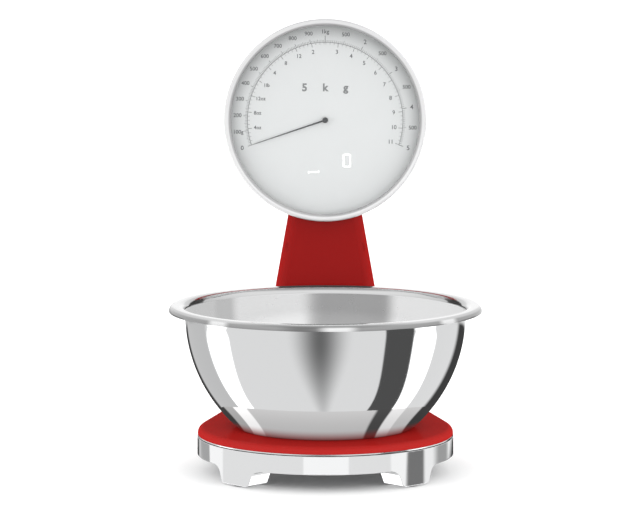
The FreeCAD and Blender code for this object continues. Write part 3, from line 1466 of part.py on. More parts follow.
def cable(name, points, radius):
    """A round cable along straight runs joined by tangent arcs."""
    edges = []
    start = points[0]
    for before, corner, after in zip(points, points[1:], points[2:]):
        inward = (corner - before).normalize()
        outward = (after - corner).normalize()
        angle = math.acos(max(-1.0, min(1.0, inward.dot(outward))))
        run = min((corner - before).Length, (after - corner).Length)
        reach = 0.45 * run
        bend = reach * math.tan((math.pi - angle) / 2)
        first = corner - inward * reach
        last = corner + outward * reach
        centre_way = (outward - inward).normalize()
        to_centre = math.hypot(reach, bend)
        middle = corner + centre_way * (to_centre - bend)
        edges.append(Part.LineSegment(start, first).toShape())
        edges.append(Part.Arc(first, middle, last).toShape())
        start = last
    edges.append(Part.LineSegment(start, points[-1]).toShape())
    path = Part.Wire(edges)
    ahead = (points[1] - points[0]).normalize()
    section = Part.Wire(Part.Circle(points[0], ahead, radius).toShape())
    tube = path.makePipeShell([section], True, True)
    expected = math.pi * radius**2 * path.Length
    if abs(tube.Volume / expected - 1) > 0.01:
        raise ValueError(f"{name} is not a clean tube")
    item = doc.addObject("Part::Feature", name)
    item.Shape = tube
    node(name, item)


def wiring():
    """Cables from the load cell, the batteries and the display to the main board."""
    cable("load_cell_cable", [
        in_row(3.0, 23.6, 22.0),
        in_row(3.0, 48.0, 22.0),
        in_row(-29.6, 88.0, 23.2),
        in_row(-29.6, 123.0, 24.0),
        in_row(-28.7, 130.5, 33.5),
        in_row(-21.0, -202.0, -37.4, True),
        in_row(-4.0, -150.0, -37.6, True),
        in_row(10.0, -100.0, -37.6, True),
        in_row(20.0, -60.0, -37.6, True),
        in_row(23.5, -16.0, -36.5, True),
        in_row(23.5, 6.0, -31.0, True),
        in_row(23.5, 21.9, -27.6, True),
    ], 1.6)
    cable("battery_cable", [
        in_row(16.0, 139.5, 28.6),
        in_row(16.0, 139.5, 37.0),
        in_row(15.0, -185.0, -33.6, True),
        in_row(4.0, -110.0, -33.4, True),
        in_row(4.0, -50.0, -33.6, True),
        in_row(12.0, -20.0, -34.0, True),
        in_row(12.0, 4.0, -31.0, True),
        in_row(12.0, 21.9, -27.6, True),
    ], 1.4)
    cable("display_cable", [
        in_row(-8.0, -33.0, -19.1, True),
        in_row(-8.0, -33.0, -27.5, True),
        in_row(-1.0, -16.0, -30.0, True),
        in_row(-1.0, 6.0, -30.0, True),
        in_row(-12.0, 16.0, -28.5, True),
        in_row(-12.0, 22.2, -27.6, True),
    ], 1.0)


# ---------------------------------------------------------------- assembly


def build():
    """Makes every sub-part."""
    base_casting()
    foot_pads()
    bottom_cover()
    overload_stops()
    battery_tray()
    battery_cells()
    battery_contacts()
    battery_door()
    load_cell()
    platform_carrier()
    platform_plate()
    rear_deck()
    bowl()
    column_shells()
    column_spine()
    bezel()
    dial_stack()
    head_chassis()
    head_housing()
    electronics()
    buttons()
    pointer_drive()
    pointer()
    wiring()


def write_parts():
    """Checks the model and writes one file per node."""
    doc.recompute()
    for item in doc.Objects:
        if {"Invalid", "Error"} & set(item.State):
            raise ValueError(f"{item.Label} ({item.Name}) did not rebuild: {item.State}")
    for item in nodes:
        if item.Shape.isNull() or not item.Shape.isValid() or not item.Shape.Solids:
            raise ValueError(f"{item.Label} has no valid solid")
    os.makedirs("parts", exist_ok=True)
    for item in nodes:
        item.Shape.exportStep(f"parts/{item.Label}.step")
        low = item.Shape.BoundBox
        print(
            f"{item.Label:28s} solids {len(item.Shape.Solids):2d} volume "
            f"{item.Shape.Volume:10.1f}  x {low.XMin:7.1f} {low.XMax:7.1f}  "
            f"y {low.YMin:7.1f} {low.YMax:7.1f}  z {low.ZMin:6.1f} {low.ZMax:6.1f}"
        )


build()
write_parts()
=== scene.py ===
import json
import math
import bpy
import bmesh
from mathutils import Matrix, Vector


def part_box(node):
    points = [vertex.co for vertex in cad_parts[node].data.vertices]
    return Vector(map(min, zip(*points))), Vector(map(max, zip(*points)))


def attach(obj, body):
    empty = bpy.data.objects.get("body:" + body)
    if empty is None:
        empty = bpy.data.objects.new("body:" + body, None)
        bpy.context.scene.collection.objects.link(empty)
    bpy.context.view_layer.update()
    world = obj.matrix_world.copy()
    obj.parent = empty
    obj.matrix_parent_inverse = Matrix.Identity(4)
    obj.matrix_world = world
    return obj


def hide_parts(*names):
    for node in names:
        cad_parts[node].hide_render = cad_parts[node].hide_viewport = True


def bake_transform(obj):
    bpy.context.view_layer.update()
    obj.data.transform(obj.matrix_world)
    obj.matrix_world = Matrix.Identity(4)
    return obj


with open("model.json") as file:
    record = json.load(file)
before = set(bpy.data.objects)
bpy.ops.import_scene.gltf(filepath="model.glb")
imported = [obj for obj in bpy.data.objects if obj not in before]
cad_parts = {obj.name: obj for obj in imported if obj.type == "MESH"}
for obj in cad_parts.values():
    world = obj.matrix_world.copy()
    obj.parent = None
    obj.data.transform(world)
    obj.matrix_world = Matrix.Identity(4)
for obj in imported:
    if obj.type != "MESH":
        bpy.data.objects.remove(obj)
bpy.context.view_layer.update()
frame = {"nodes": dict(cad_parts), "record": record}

# Looks of the kitchen scale.  Metres, row frame: +Z up, front towards -Y.

MM = 0.001
# one red paint in two copies: the plate's painted lighter and the column's darker, as painted
# light and shade
PLATE_RED_LIT = (0.415, 0.015, 0.013)
COLUMN_RED_SHADED = (0.325, 0.0052, 0.0045)
STEEL = (0.80, 0.805, 0.81)
CHROME = (0.84, 0.845, 0.85)
EDGE_REACH = 0.9 * MM  # how far in from an edge its paint wears
TILT = math.radians(4.3)  # of the column and the head
HEAD_TURN = math.pi / 2 - TILT
DIAL_CENTRE = Vector((0, 0.08845, 0.2442))


# ---------------------------------------------------------------- node helpers


class Graph:
    """Short calls for building a node tree."""

    def __init__(self, tree, clear=True):
        self.tree = tree
        if clear:
            tree.nodes.clear()

    def add(self, kind, **settings):
        node = self.tree.nodes.new(kind)
        for name, value in settings.items():
            setattr(node, name, value)
        return node

    def put(self, socket, value):
        """Feeds a socket with another socket or a plain value."""
        if isinstance(value, bpy.types.NodeSocket):
            self.tree.links.new(value, socket)
        else:
            socket.default_value = value

    def math(self, operation, a, b=0.0, c=0.0):
        node = self.add("ShaderNodeMath", operation=operation)
        self.put(node.inputs[0], a)
        self.put(node.inputs[1], b)
        self.put(node.inputs[2], c)
        return node.outputs[0]

    def step(self, value, low, high, to_low=0.0, to_high=1.0):
        """Smooth step of a value from low to high."""
        node = self.add("ShaderNodeMapRange", interpolation_type="SMOOTHSTEP")
        for name, item in (
            ("Value", value), ("From Min", low), ("From Max", high),
            ("To Min", to_low), ("To Max", to_high),
        ):
            self.put(node.inputs[name], item)
        return node.outputs[0]

    def blend(self, share, a, b):
        """Mixes two numbers."""
        node = self.add("ShaderNodeMix", data_type="FLOAT")
        self.put(node.inputs[0], share)
        self.put(node.inputs[2], a)
        self.put(node.inputs[3], b)
        return node.outputs[0]

    def blend_colour(self, share, a, b):
        """Mixes two colours."""
        node = self.add("ShaderNodeMix", data_type="RGBA")
        self.put(node.inputs[0], share)
        self.put(node.inputs[6], (*a, 1) if isinstance(a, tuple) else a)
        self.put(node.inputs[7], (*b, 1) if isinstance(b, tuple) else b)
        return node.outputs[2]

    def place(self):
        """Coordinates fixed to the object, in metres."""
        return self.add("ShaderNodeTexCoord").outputs["Object"]

    def noise(self, where, scale, detail=2.0, rough=0.5):
        node = self.add("ShaderNodeTexNoise")
        self.put(node.inputs["Vector"], where)
        self.put(node.inputs["Scale"], scale)
        self.put(node.inputs["Detail"], detail)
        self.put(node.inputs["Roughness"], rough)
        return node.outputs["Fac"]

    def split(self, vector):
        node = self.add("ShaderNodeSeparateXYZ")
        self.put(node.inputs[0], vector)
        return node.outputs

    def join(self, x, y, z):
        node = self.add("ShaderNodeCombineXYZ")
        for socket, value in zip(node.inputs, (x, y, z)):
            self.put(socket, value)
        return node.outputs[0]


def length_of(graph, x, y):
    """Length of a plane vector."""
    squares = graph.math("ADD", graph.math("MULTIPLY", x, x), graph.math("MULTIPLY", y, y))
    return graph.math("SQRT", squares)


def around_axis(graph, centre, turn_x=0.0):
    """Position (x, y, z) in an axis's own frame, and the distance from that axis."""
    mapping = graph.add("ShaderNodeMapping", vector_type="TEXTURE")
    graph.put(mapping.inputs["Vector"], graph.place())
    mapping.inputs["Location"].default_value = centre
    mapping.inputs["Rotation"].default_value = (turn_x, 0, 0)
    x, y, z = graph.split(mapping.outputs[0])
    return (x, y, z), length_of(graph, x, y)


def around_bowl(graph):
    """Position and distance from the bowl's axis."""
    return around_axis(graph, (0, BOWL_CENTRE.y, 0))


def around_dial(graph):
    """Position and distance from the dial's axis, y pointing up the dial."""
    return around_axis(graph, tuple(DIAL_CENTRE), HEAD_TURN)


def angle_from_back(graph, position):
    """Degrees about the axis, 0 at the back and positive to the right."""
    return graph.math("DEGREES", graph.math("ARCTAN2", position[0], position[1]))


def angle_from_front(graph, position):
    """Degrees about the axis, 0 at the front and positive to the right."""
    behind = graph.math("MULTIPLY", position[1], -1.0)
    return graph.math("DEGREES", graph.math("ARCTAN2", position[0], behind))


def corner_mask(g):
    """1 on sharp edges and corners, 0 on flats and gentle curves."""
    bevel = g.add("ShaderNodeBevel", samples=4)
    bevel.inputs["Radius"].default_value = EDGE_REACH
    turn = g.add("ShaderNodeVectorMath", operation="DOT_PRODUCT")
    g.put(turn.inputs[0], bevel.outputs[0])
    g.put(turn.inputs[1], g.add("ShaderNodeNewGeometry").outputs["Normal"])
    return g.step(turn.outputs["Value"], 0.75, 0.98, 1.0, 0.0)


def finish_of(name, colour, metallic=0.0, roughness=0.4, spread=0.05, tint=0.04, patch=30.0,
              grain=0.0, grain_scale=2500.0, wave=0.0, wave_scale=60.0, round_edges=0.0,
              wear=0.0, coat=0.0, lines=None, line_depth=0.0, anisotropic=0.0, glow=0.0,
              lean=0.0):
    """A surface with colour and gloss variation, fine grain, soft waves and worn edges."""
    material = bpy.data.materials.new(name)
    material.use_nodes = True
    g = Graph(material.node_tree)
    out = g.add("ShaderNodeOutputMaterial")
    shader = g.add("ShaderNodeBsdfPrincipled")
    g.put(out.inputs["Surface"], shader.outputs[0])
    where = g.place()
    patches = g.noise(where, patch, 4.0, 0.55)
    fine = g.noise(where, patch * 9, 3.0, 0.6)
    light = tuple(min(1.0, c * (1 + tint)) for c in colour)
    dark = tuple(c * (1 - tint) for c in colour)
    paint = g.blend_colour(patches, dark, light)
    gloss = g.math("MULTIPLY_ADD", fine, 2 * spread, roughness - spread)
    if wear:
        edge = corner_mask(g)
        rubbed = g.math("MULTIPLY", edge, g.step(fine, 0.45, 0.75))
        worn = g.math("MULTIPLY", rubbed, wear)
        paler = tuple(min(1.0, 0.5 * c + 0.4) for c in colour)
        paint = g.blend_colour(worn, paint, paler)
        gloss = g.math("MULTIPLY_ADD", worn, 0.2, gloss)
    g.put(shader.inputs["Base Color"], paint)
    g.put(shader.inputs["Roughness"], gloss)
    shader.inputs["Metallic"].default_value = metallic
    shader.inputs["IOR"].default_value = 1.5
    shader.inputs["Coat Weight"].default_value = coat
    shader.inputs["Coat Roughness"].default_value = 0.04
    if anisotropic:
        shader.inputs["Anisotropic"].default_value = anisotropic
        around = g.add("ShaderNodeTangent", direction_type="RADIAL", axis="Z")
        g.put(shader.inputs["Tangent"], around.outputs[0])
    if glow:
        g.put(shader.inputs["Emission Color"], (*colour, 1))
        shader.inputs["Emission Strength"].default_value = glow
    height = None
    normal = None
    if grain:
        height = g.math("MULTIPLY", g.noise(where, grain_scale, 2.0), grain)
    if wave:
        soft = g.math("MULTIPLY", g.noise(where, wave_scale, 1.0, 0.4), wave)
        height = soft if height is None else g.math("ADD", height, soft)
    if lines is not None:
        streak = g.math("MULTIPLY", lines(g), line_depth)
        height = streak if height is None else g.math("ADD", height, streak)
    if round_edges:
        bevel = g.add("ShaderNodeBevel", samples=4)
        bevel.inputs["Radius"].default_value = round_edges
        normal = bevel.outputs[0]
        if lean:
            up = g.add("ShaderNodeVectorMath", operation="ADD")
            g.put(up.inputs[0], normal)
            up.inputs[1].default_value = (0, 0, lean)
            normal = up.outputs[0]
    if height is not None:
        bump = g.add("ShaderNodeBump")
        bump.inputs["Strength"].default_value = 1.0
        bump.inputs["Distance"].default_value = 1.0
        g.put(bump.inputs["Height"], height)
        if normal is not None:
            g.put(bump.inputs["Normal"], normal)
        normal = bump.outputs[0]
    if normal is not None:
        g.put(shader.inputs["Normal"], normal)
        if coat:
            g.put(shader.inputs["Coat Normal"], normal)
    return material


def enamel(name, shine_share, edge_radius, wave):
    """Glossy red paint under a thin clear surface; one red, painted lighter on the plate and
    darker on the column as painted light and shade.
    """
    material = bpy.data.materials.new(name)
    material.use_nodes = True
    g = Graph(material.node_tree)
    out = g.add("ShaderNodeOutputMaterial")
    body = g.add("ShaderNodeBsdfDiffuse")
    shine = g.add("ShaderNodeBsdfGlossy")
    where = g.place()
    patches = g.noise(where, 22.0, 4.0, 0.55)
    fine = g.noise(where, 900.0, 3.0, 0.6)
    tone = g.add("ShaderNodeVectorMath", operation="SCALE")
    # painted shade: above the plate, the column takes the darker copy of the red
    shaded_column = g.step(g.split(where)[2], COLUMN_LOW, COLUMN_LOW + 0.004)
    g.put(tone.inputs[0], g.blend_colour(shaded_column, PLATE_RED_LIT, COLUMN_RED_SHADED))
    g.put(tone.inputs["Scale"], g.math("MULTIPLY_ADD", patches, 0.10, 0.95))
    paint = tone.outputs[0]
    rubbed = g.math("MULTIPLY", corner_mask(g), g.step(fine, 0.45, 0.75, 0.0, 0.25))
    g.put(body.inputs["Color"], g.blend_colour(rubbed, paint, (0.55, 0.10, 0.09)))
    g.put(shine.inputs["Roughness"], g.math("MULTIPLY_ADD", fine, 0.08, 0.12))
    bevel = g.add("ShaderNodeBevel", samples=4)
    bevel.inputs["Radius"].default_value = edge_radius
    bump = g.add("ShaderNodeBump")
    bump.inputs["Distance"].default_value = 1.0
    g.put(bump.inputs["Height"], g.math("MULTIPLY", g.noise(where, 90.0, 1.0, 0.4), wave))
    g.put(bump.inputs["Normal"], bevel.outputs[0])
    g.put(body.inputs["Normal"], bevel.outputs[0])
    g.put(shine.inputs["Normal"], bump.outputs[0])
    mix = g.add("ShaderNodeMixShader")
    mix.inputs[0].default_value = shine_share
    g.put(mix.inputs[1], body.outputs[0])
    g.put(mix.inputs[2], shine.outputs[0])
    g.put(out.inputs["Surface"], mix.outputs[0])
    return material


low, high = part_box("bowl")
BOWL_CENTRE = (low + high) / 2
FLOOR = low.z / MM
TOP = high.z / MM
WALL = 0.8
COLUMN_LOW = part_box("platform_plate")[1].z + 0.001


def spun(g):
    """Fine lines left around the bowl by spinning and brushing."""
    position, radius = around_bowl(g)
    return g.noise(g.join(radius, 0.0, position[2]), 1800.0, 3.0, 0.7)


def brushed_x(g):
    """Brush lines along X."""
    along = g.add("ShaderNodeVectorMath", operation="MULTIPLY")
    g.put(along.inputs[0], g.place())
    along.inputs[1].default_value = (0.03, 1, 1)
    return g.noise(along.outputs[0], 2600.0, 3.0, 0.7)


def turned_dial(g):
    """Very fine rings about the dial's centre."""
    radius = around_dial(g)[1]
    return g.noise(g.join(radius, 0.0, 0.0), 2600.0, 2.0, 0.7)


def glass_material():
    """Clear pane: mostly see-through with a faint clean reflection and smudges."""
    material = bpy.data.materials.new("pane")
    material.use_nodes = True
    g = Graph(material.node_tree)
    out = g.add("ShaderNodeOutputMaterial")
    clear = g.add("ShaderNodeBsdfTransparent")
    clear.inputs[0].default_value = (0.985, 0.99, 0.99, 1)
    shader = g.add("ShaderNodeBsdfPrincipled")
    shader.inputs["Base Color"].default_value = (0.9, 0.92, 0.92, 1)
    shader.inputs["Metallic"].default_value = 1.0
    where = g.place()
    smudge = g.noise(where, 55.0, 4.0, 0.6)
    g.put(shader.inputs["Roughness"], g.step(smudge, 0.45, 0.8, 0.01, 0.09))
    mix = g.add("ShaderNodeMixShader")
    g.put(mix.inputs[0], g.step(smudge, 0.2, 0.8, 0.035, 0.05))
    g.put(mix.inputs[1], clear.outputs[0])
    g.put(mix.inputs[2], shader.outputs[0])
    g.put(out.inputs["Surface"], mix.outputs[0])
    return material


def find_node(g, kind):
    """The one node of a kind in a material."""
    return [node for node in g.tree.nodes if node.type == kind][0]


def toned(material, tone_of):
    """Scales a finish's colour by a tone that varies over the object."""
    g = Graph(material.node_tree, False)
    shader = find_node(g, "BSDF_PRINCIPLED")
    base = shader.inputs["Base Color"].links[0].from_socket
    scaled = g.add("ShaderNodeVectorMath", operation="SCALE")
    g.put(scaled.inputs[0], base)
    g.put(scaled.inputs["Scale"], tone_of(g))
    g.put(shader.inputs["Base Color"], scaled.outputs[0])
    return material


def bands(g, angle, tone, rows):
    """Blends soft-edged bands, each (left, right, softness, value), over a tone."""
    for left, right, soft, value in rows:
        inside = g.math("MULTIPLY", g.step(angle, left - soft, left + soft),
                        g.step(angle, right - soft, right + soft, 1.0, 0.0))
        tone = g.blend(inside, tone, value)
    return tone


def dial_tone(g):
    """Painted light and shade: paler towards the bottom, with a painted soft shadow of the
    bezel near the top.
    """
    position = around_dial(g)[0]
    side = g.math("ADD", position[0], 0.4 * MM)
    rise = g.math("ADD", position[1], 6.5 * MM)
    shade = g.step(length_of(g, side, rise), 62 * MM, 84 * MM, 1.0, 0.55)
    return g.math("MULTIPLY", shade, g.step(position[1], -80 * MM, 70 * MM, 1.03, 0.91))


def ring_tone(g):
    """The bezel, with painted light: paler at the bottom than at the top; grey along its inner
    lip.
    """
    position, radius = around_dial(g)
    lip = g.step(radius, 72.2 * MM, 73.2 * MM, 0.55, 1.0)
    return g.math("MULTIPLY", lip, g.step(position[1], -80 * MM, 50 * MM, 1.12, 0.89))


def inside_tone(g):
    """Painted reflections: lighter and darker bands about the axis on the inside wall of the
    bowl, an even tone near its floor.
    """
    position, radius = around_bowl(g)
    painted_reflection_bands = bands(g, angle_from_back(g, position), 0.72, (
        (-54, -43, 2.0, 0.64), (-42, -6, 3.0, 0.93), (-6, 30, 6.0, 0.445),
        (30, 85, 4.0, 0.98),
    ))
    return g.blend(g.step(radius, 60 * MM, 86 * MM), 0.78, painted_reflection_bands)


def lit_inside(material):
    """Lets the inside of the bowl light itself evenly, as its many reflections do."""
    g = Graph(material.node_tree, False)
    out = find_node(g, "OUTPUT_MATERIAL")
    steel = out.inputs["Surface"].links[0].from_socket
    glow = g.add("ShaderNodeEmission")
    glow.inputs["Color"].default_value = (1.0, 1.0, 1.0, 1)
    radius = around_bowl(g)[1]
    g.put(glow.inputs["Strength"], g.step(radius, 45 * MM, 100 * MM, 0.70, 0.84))
    mix = g.add("ShaderNodeMixShader")
    g.put(mix.inputs[0], g.add("ShaderNodeLightPath").outputs["Is Glossy Ray"])
    g.put(mix.inputs[1], steel)
    g.put(mix.inputs[2], glow.outputs[0])
    g.put(out.inputs["Surface"], mix.outputs[0])
    return material


def rim_tone(g):
    """The rolled hem, with painted reflections: greyer on its outer side, with short painted
    glints and one dark band there, and a little darker towards left and right on top.
    """
    position, radius = around_bowl(g)
    angle = angle_from_front(g, position)
    painted_glints = bands(g, angle, 0.52, (
        (-46, -38, 2.0, 1.25), (-14, -2, 5.0, 0.30), (-1, 10, 3.0, 1.30), (46, 54, 2.0, 1.25),
    ))
    side = g.step(position[2], (TOP - 2.0) * MM, (TOP - 0.8) * MM, 1.0, 0.0)
    outer = g.math("MULTIPLY", side, g.step(radius, 109 * MM, 110.5 * MM))
    top = bands(g, angle, 1.0, ((-130, -50, 20.0, 0.78), (50, 130, 20.0, 0.80)))
    return g.blend(outer, top, painted_glints)


def dial_material():
    """Satin light grey face with a very fine grain, under painted light and shade."""
    face = finish_of("dial_face", (0.79, 0.79, 0.79), 0.10, 0.45, 0.04, 0.01, 25.0,
                     grain=0.000004, grain_scale=4200.0, lines=turned_dial,
                     line_depth=0.000004)
    return toned(face, dial_tone)


def plate_enamel():
    """The plate's red; where polished steel reflects it, it glows in painted bands like the
    studio's panels, a painted reflection.
    """
    material = enamel("red_enamel", 0.012, 0.0006, 0.00004)
    g = Graph(material.node_tree, False)
    out = find_node(g, "OUTPUT_MATERIAL")
    paint = out.inputs["Surface"].links[0].from_socket
    position, radius = around_bowl(g)
    spread = g.step(radius, 45 * MM, 130 * MM, 0.52, 1.0)
    angle = g.math("DIVIDE", angle_from_front(g, position), spread)
    far = g.step(radius, 85 * MM, 125 * MM)
    tone = bands(g, angle, 0.84, (
        (-200, -112, 6.0, 0.07), (-112, -91, 2.0, 0.62), (-91, -71, 1.5, 1.5),
        (-22, 16, 12.0, g.blend(far, 0.84, 0.58)), (42, 57, 2.0, 0.10), (57, 73, 1.5, 1.2),
        (100, 200, 3.0, 0.07),
    ))
    tone = g.math("MULTIPLY", tone, g.step(radius, 60 * MM, 120 * MM, 0.66, 1.10))
    # painted reflection: a glow in bands that only reflected rays see
    card = g.add("ShaderNodeEmission")
    card.inputs["Color"].default_value = (1.0, 0.985, 0.98, 1)
    g.put(card.inputs["Strength"], tone)
    path = g.add("ShaderNodeLightPath")
    share = g.math("MULTIPLY", path.outputs["Is Glossy Ray"], g.step(radius, 62 * MM, 72 * MM))
    mix = g.add("ShaderNodeMixShader")
    g.put(mix.inputs[0], share)
    g.put(mix.inputs[1], paint)
    g.put(mix.inputs[2], card.outputs[0])
    g.put(out.inputs["Surface"], mix.outputs[0])
    return material


MATERIALS = {
    "chrome_casting": finish_of("chrome_casting", CHROME, 1.0, 0.05, 0.015, 0.01, 40.0,
                                wave=0.00002, wave_scale=30.0, round_edges=0.0007,
                                grain=0.0000015, grain_scale=3000.0, lean=0.05),
    # the bezel's colour carries painted light, paler at the bottom than at the top
    "chrome_ring": toned(
        finish_of("chrome_ring", (0.77, 0.77, 0.775), 0.45, 0.16, 0.03, 0.01, 40.0,
                  wave=0.00001, wave_scale=40.0, round_edges=0.0003), ring_tone),
    "polished_trim": finish_of("polished_trim", CHROME, 1.0, 0.12, 0.03, 0.02, 60.0,
                               grain=0.000002),
    "bowl_outside": finish_of("bowl_outside", STEEL, 1.0, 0.045, 0.015, 0.008, 20.0,
                              lines=spun, line_depth=0.0000012),
    # the inside's colour carries painted reflections in bands; it also glows for reflected rays
    "bowl_inside": lit_inside(toned(
        finish_of("bowl_inside", (0.955, 0.957, 0.96), 1.0, 0.26, 0.04, 0.02, 25.0,
                  lines=spun, line_depth=0.000004, anisotropic=0.85), inside_tone)),
    # the rim's colour carries painted reflections and painted glints
    "bowl_rim": toned(
        finish_of("bowl_rim", (0.66, 0.662, 0.665), 1.0, 0.12, 0.03, 0.01, 25.0,
                  lines=spun, line_depth=0.000002), rim_tone),
    "red_enamel": plate_enamel(),
    "red_shell": enamel("red_shell", 0.012, 0.0005, 0.00003),
    "dial_metal": dial_material(),
    "clear_glass": glass_material(),
    "black_rubber": finish_of("black_rubber", (0.022, 0.022, 0.023), 0.0, 0.75, 0.1, 0.3, 80.0,
                              grain=0.00004, grain_scale=1800.0, wear=0.3),
    "dark_plastic": finish_of("dark_plastic", (0.045, 0.046, 0.05), 0.0, 0.55, 0.08, 0.15, 35.0,
                              grain=0.00003, grain_scale=2200.0, round_edges=0.0004, wear=0.3),
    "zinc_steel": finish_of("zinc_steel", (0.58, 0.59, 0.60), 1.0, 0.32, 0.1, 0.12, 160.0,
                            grain=0.00001, grain_scale=3500.0, wear=0.5),
    "spring_steel": finish_of("spring_steel", (0.66, 0.65, 0.62), 1.0, 0.24, 0.08, 0.08, 120.0,
                              grain=0.000006, grain_scale=3500.0),
    "cell_jacket": finish_of("cell_jacket", (0.05, 0.16, 0.09), 0.2, 0.3, 0.06, 0.1, 60.0,
                             coat=0.4, grain=0.000005),
    "bare_aluminium": finish_of("bare_aluminium", (0.66, 0.67, 0.68), 1.0, 0.36, 0.08, 0.05,
                                40.0, lines=brushed_x, line_depth=0.00001,
                                round_edges=0.0003, wear=0.2),
    "spine_steel": finish_of("spine_steel", (0.42, 0.44, 0.46), 1.0, 0.4, 0.12, 0.18, 55.0,
                             grain=0.00001, grain_scale=900.0, wear=0.3),
    "display_black": finish_of("display_black", (0.015, 0.015, 0.017), 0.0, 0.12, 0.04, 0.2,
                               50.0, coat=0.5, grain=0.000002),
    "board_green": finish_of("board_green", (0.012, 0.10, 0.045), 0.0, 0.3, 0.08, 0.2, 90.0,
                             grain=0.00001, grain_scale=1500.0, coat=0.3),
    "component_black": finish_of("component_black", (0.025, 0.025, 0.027), 0.0, 0.5, 0.1, 0.2,
                                 150.0, grain=0.00001, grain_scale=3000.0, wear=0.4),
    "button_grey": finish_of("button_grey", (0.30, 0.305, 0.31), 0.0, 0.3, 0.06, 0.08, 60.0,
                             coat=0.3, grain=0.000008, round_edges=0.0004, wear=0.3),
    "white_acetal": finish_of("white_acetal", (0.78, 0.77, 0.72), 0.0, 0.45, 0.06, 0.05, 60.0,
                              grain=0.000006, wear=0.1),
    "brass_bush": finish_of("brass_bush", (0.62, 0.45, 0.17), 1.0, 0.25, 0.08, 0.12, 120.0,
                            grain=0.000005, wear=0.4),
    "motor_can": finish_of("motor_can", (0.50, 0.51, 0.53), 1.0, 0.3, 0.08, 0.1, 70.0,
                           grain=0.000006, round_edges=0.0003, wear=0.4),
    "needle_black": finish_of("needle_black", (0.03, 0.03, 0.033), 0.6, 0.38, 0.08, 0.2, 200.0,
                              grain=0.000002, wear=0.4),
    "cable_grey": finish_of("cable_grey", (0.16, 0.16, 0.17), 0.0, 0.5, 0.08, 0.15, 80.0,
                            grain=0.00001, grain_scale=2500.0, wear=0.1),
    "cable_red": finish_of("cable_red", (0.38, 0.02, 0.015), 0.0, 0.45, 0.08, 0.15, 80.0,
                           grain=0.00001, grain_scale=2500.0, wear=0.1),
    "print_ink": finish_of("print_ink", (0.10, 0.10, 0.105), 0.0, 0.5, 0.08, 0.2, 300.0,
                           grain=0.000002, grain_scale=5000.0),
    "print_grey": finish_of("print_grey", (0.24, 0.24, 0.245), 0.6, 0.4, 0.06, 0.1, 200.0,
                            grain=0.000002, grain_scale=5000.0),
    "lit_segment": finish_of("lit_segment", (1.0, 1.0, 1.0), 0.0, 0.5, 0.05, 0.02, 300.0,
                             glow=1.6, grain=0.000001),
}

for row in frame["record"]["subparts"]:
    node = frame["nodes"][row["node"]]
    key = row["material_slot"]
    if key in MATERIALS:
        node.data.materials.clear()
        node.data.materials.append(MATERIALS[key])


# ---------------------------------------------------------------- mesh helpers


def new_piece(name, vertices, faces, materials, body, smooth=True):
    """Links a mesh to the scene and lets it ride on a body."""
    mesh = bpy.data.meshes.new(name)
    mesh.from_pydata(vertices, [], faces)
    mesh.update()
    item = bpy.data.objects.new(name, mesh)
    bpy.context.scene.collection.objects.link(item)
    for material in materials:
        mesh.materials.append(material)
    for polygon in mesh.polygons:
        polygon.use_smooth = smooth
    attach(item, body)
    return item


def rounded_profile(corners):
    """Points along an open outline of (radius, height, rounding) corners."""
    points = []
    last = len(corners) - 1
    for index, (x, z, radius) in enumerate(corners):
        here = Vector((x, z))
        if radius == 0 or index in (0, last):
            points.append(here)
            continue
        before = Vector(corners[index - 1][:2])
        after = Vector(corners[index + 1][:2])
        inward = (here - before).normalized()
        outward = (after - here).normalized()
        angle = math.acos(max(-1.0, min(1.0, inward.dot(outward))))
        reach = radius * math.tan(angle / 2)
        first = here - inward * reach
        side = 1 if inward.x * outward.y - inward.y * outward.x > 0 else -1
        centre = first + Vector((-inward.y, inward.x)) * radius * side
        count = max(4, int(math.degrees(angle) / (1.2 if radius > 20 else 6)))
        arm = first - centre
        for step in range(count + 1):
            turn = side * angle * step / count
            points.append(centre + Matrix.Rotation(turn, 2) @ arm)
    return points


def lathe(name, profile, materials, body, centre, picks, segments):
    """Turns a profile in mm about a vertical axis.  picks gives each band's material."""
    vertices = []
    faces = []
    indices = []
    rows = []
    for point in profile:
        if point.x < 1e-6:
            rows.append([len(vertices)])
            vertices.append((centre[0], centre[1], point.y * MM))
            continue
        row = []
        for step in range(segments):
            angle = 2 * math.pi * step / segments
            row.append(len(vertices))
            vertices.append((
                centre[0] + point.x * MM * math.cos(angle),
                centre[1] + point.x * MM * math.sin(angle),
                point.y * MM,
            ))
        rows.append(row)
    for number, (low, high) in enumerate(zip(rows, rows[1:])):
        for step in range(segments):
            after = (step + 1) % segments
            if len(low) == 1:
                face = (low[0], high[after], high[step])
            elif len(high) == 1:
                face = (low[step], low[after], high[0])
            else:
                face = (low[step], low[after], high[after], high[step])
            faces.append(face)
            indices.append(picks(number))
    item = new_piece(name, vertices, faces, materials, body)
    for polygon, index in zip(item.data.polygons, indices):
        polygon.material_index = index
    return item


# ---------------------------------------------------------------- bowl


def bowl_profile():
    """The bowl's section: outside from the axis up to the hem, then the inside back down."""
    outside = rounded_profile((
        (0, FLOOR, 0), (63.7, FLOOR, 2.4), (99.85, 65.4, 109.0), (101.15, TOP - WALL, 5.0),
        (111.7, TOP - WALL, 3.4), (111.7, TOP - 4.4, 0),
    ))
    inside = rounded_profile((
        (112.5, TOP - 4.4, 0), (112.5, TOP, 4.2), (100.35, TOP, 5.8), (99.05, 65.76, 108.2),
        (63.39, FLOOR + WALL, 1.6), (0, FLOOR + WALL, 0),
    ))
    return outside, inside


outside, inside = bowl_profile()


def bowl_band(number):
    """Material of one band of the bowl: polished outside, rim, satin inside."""
    if number < len(outside):
        return 0
    point = inside[number - len(outside)]
    return 1 if point.x > 100.0 and point.y > TOP - 4.5 else 2


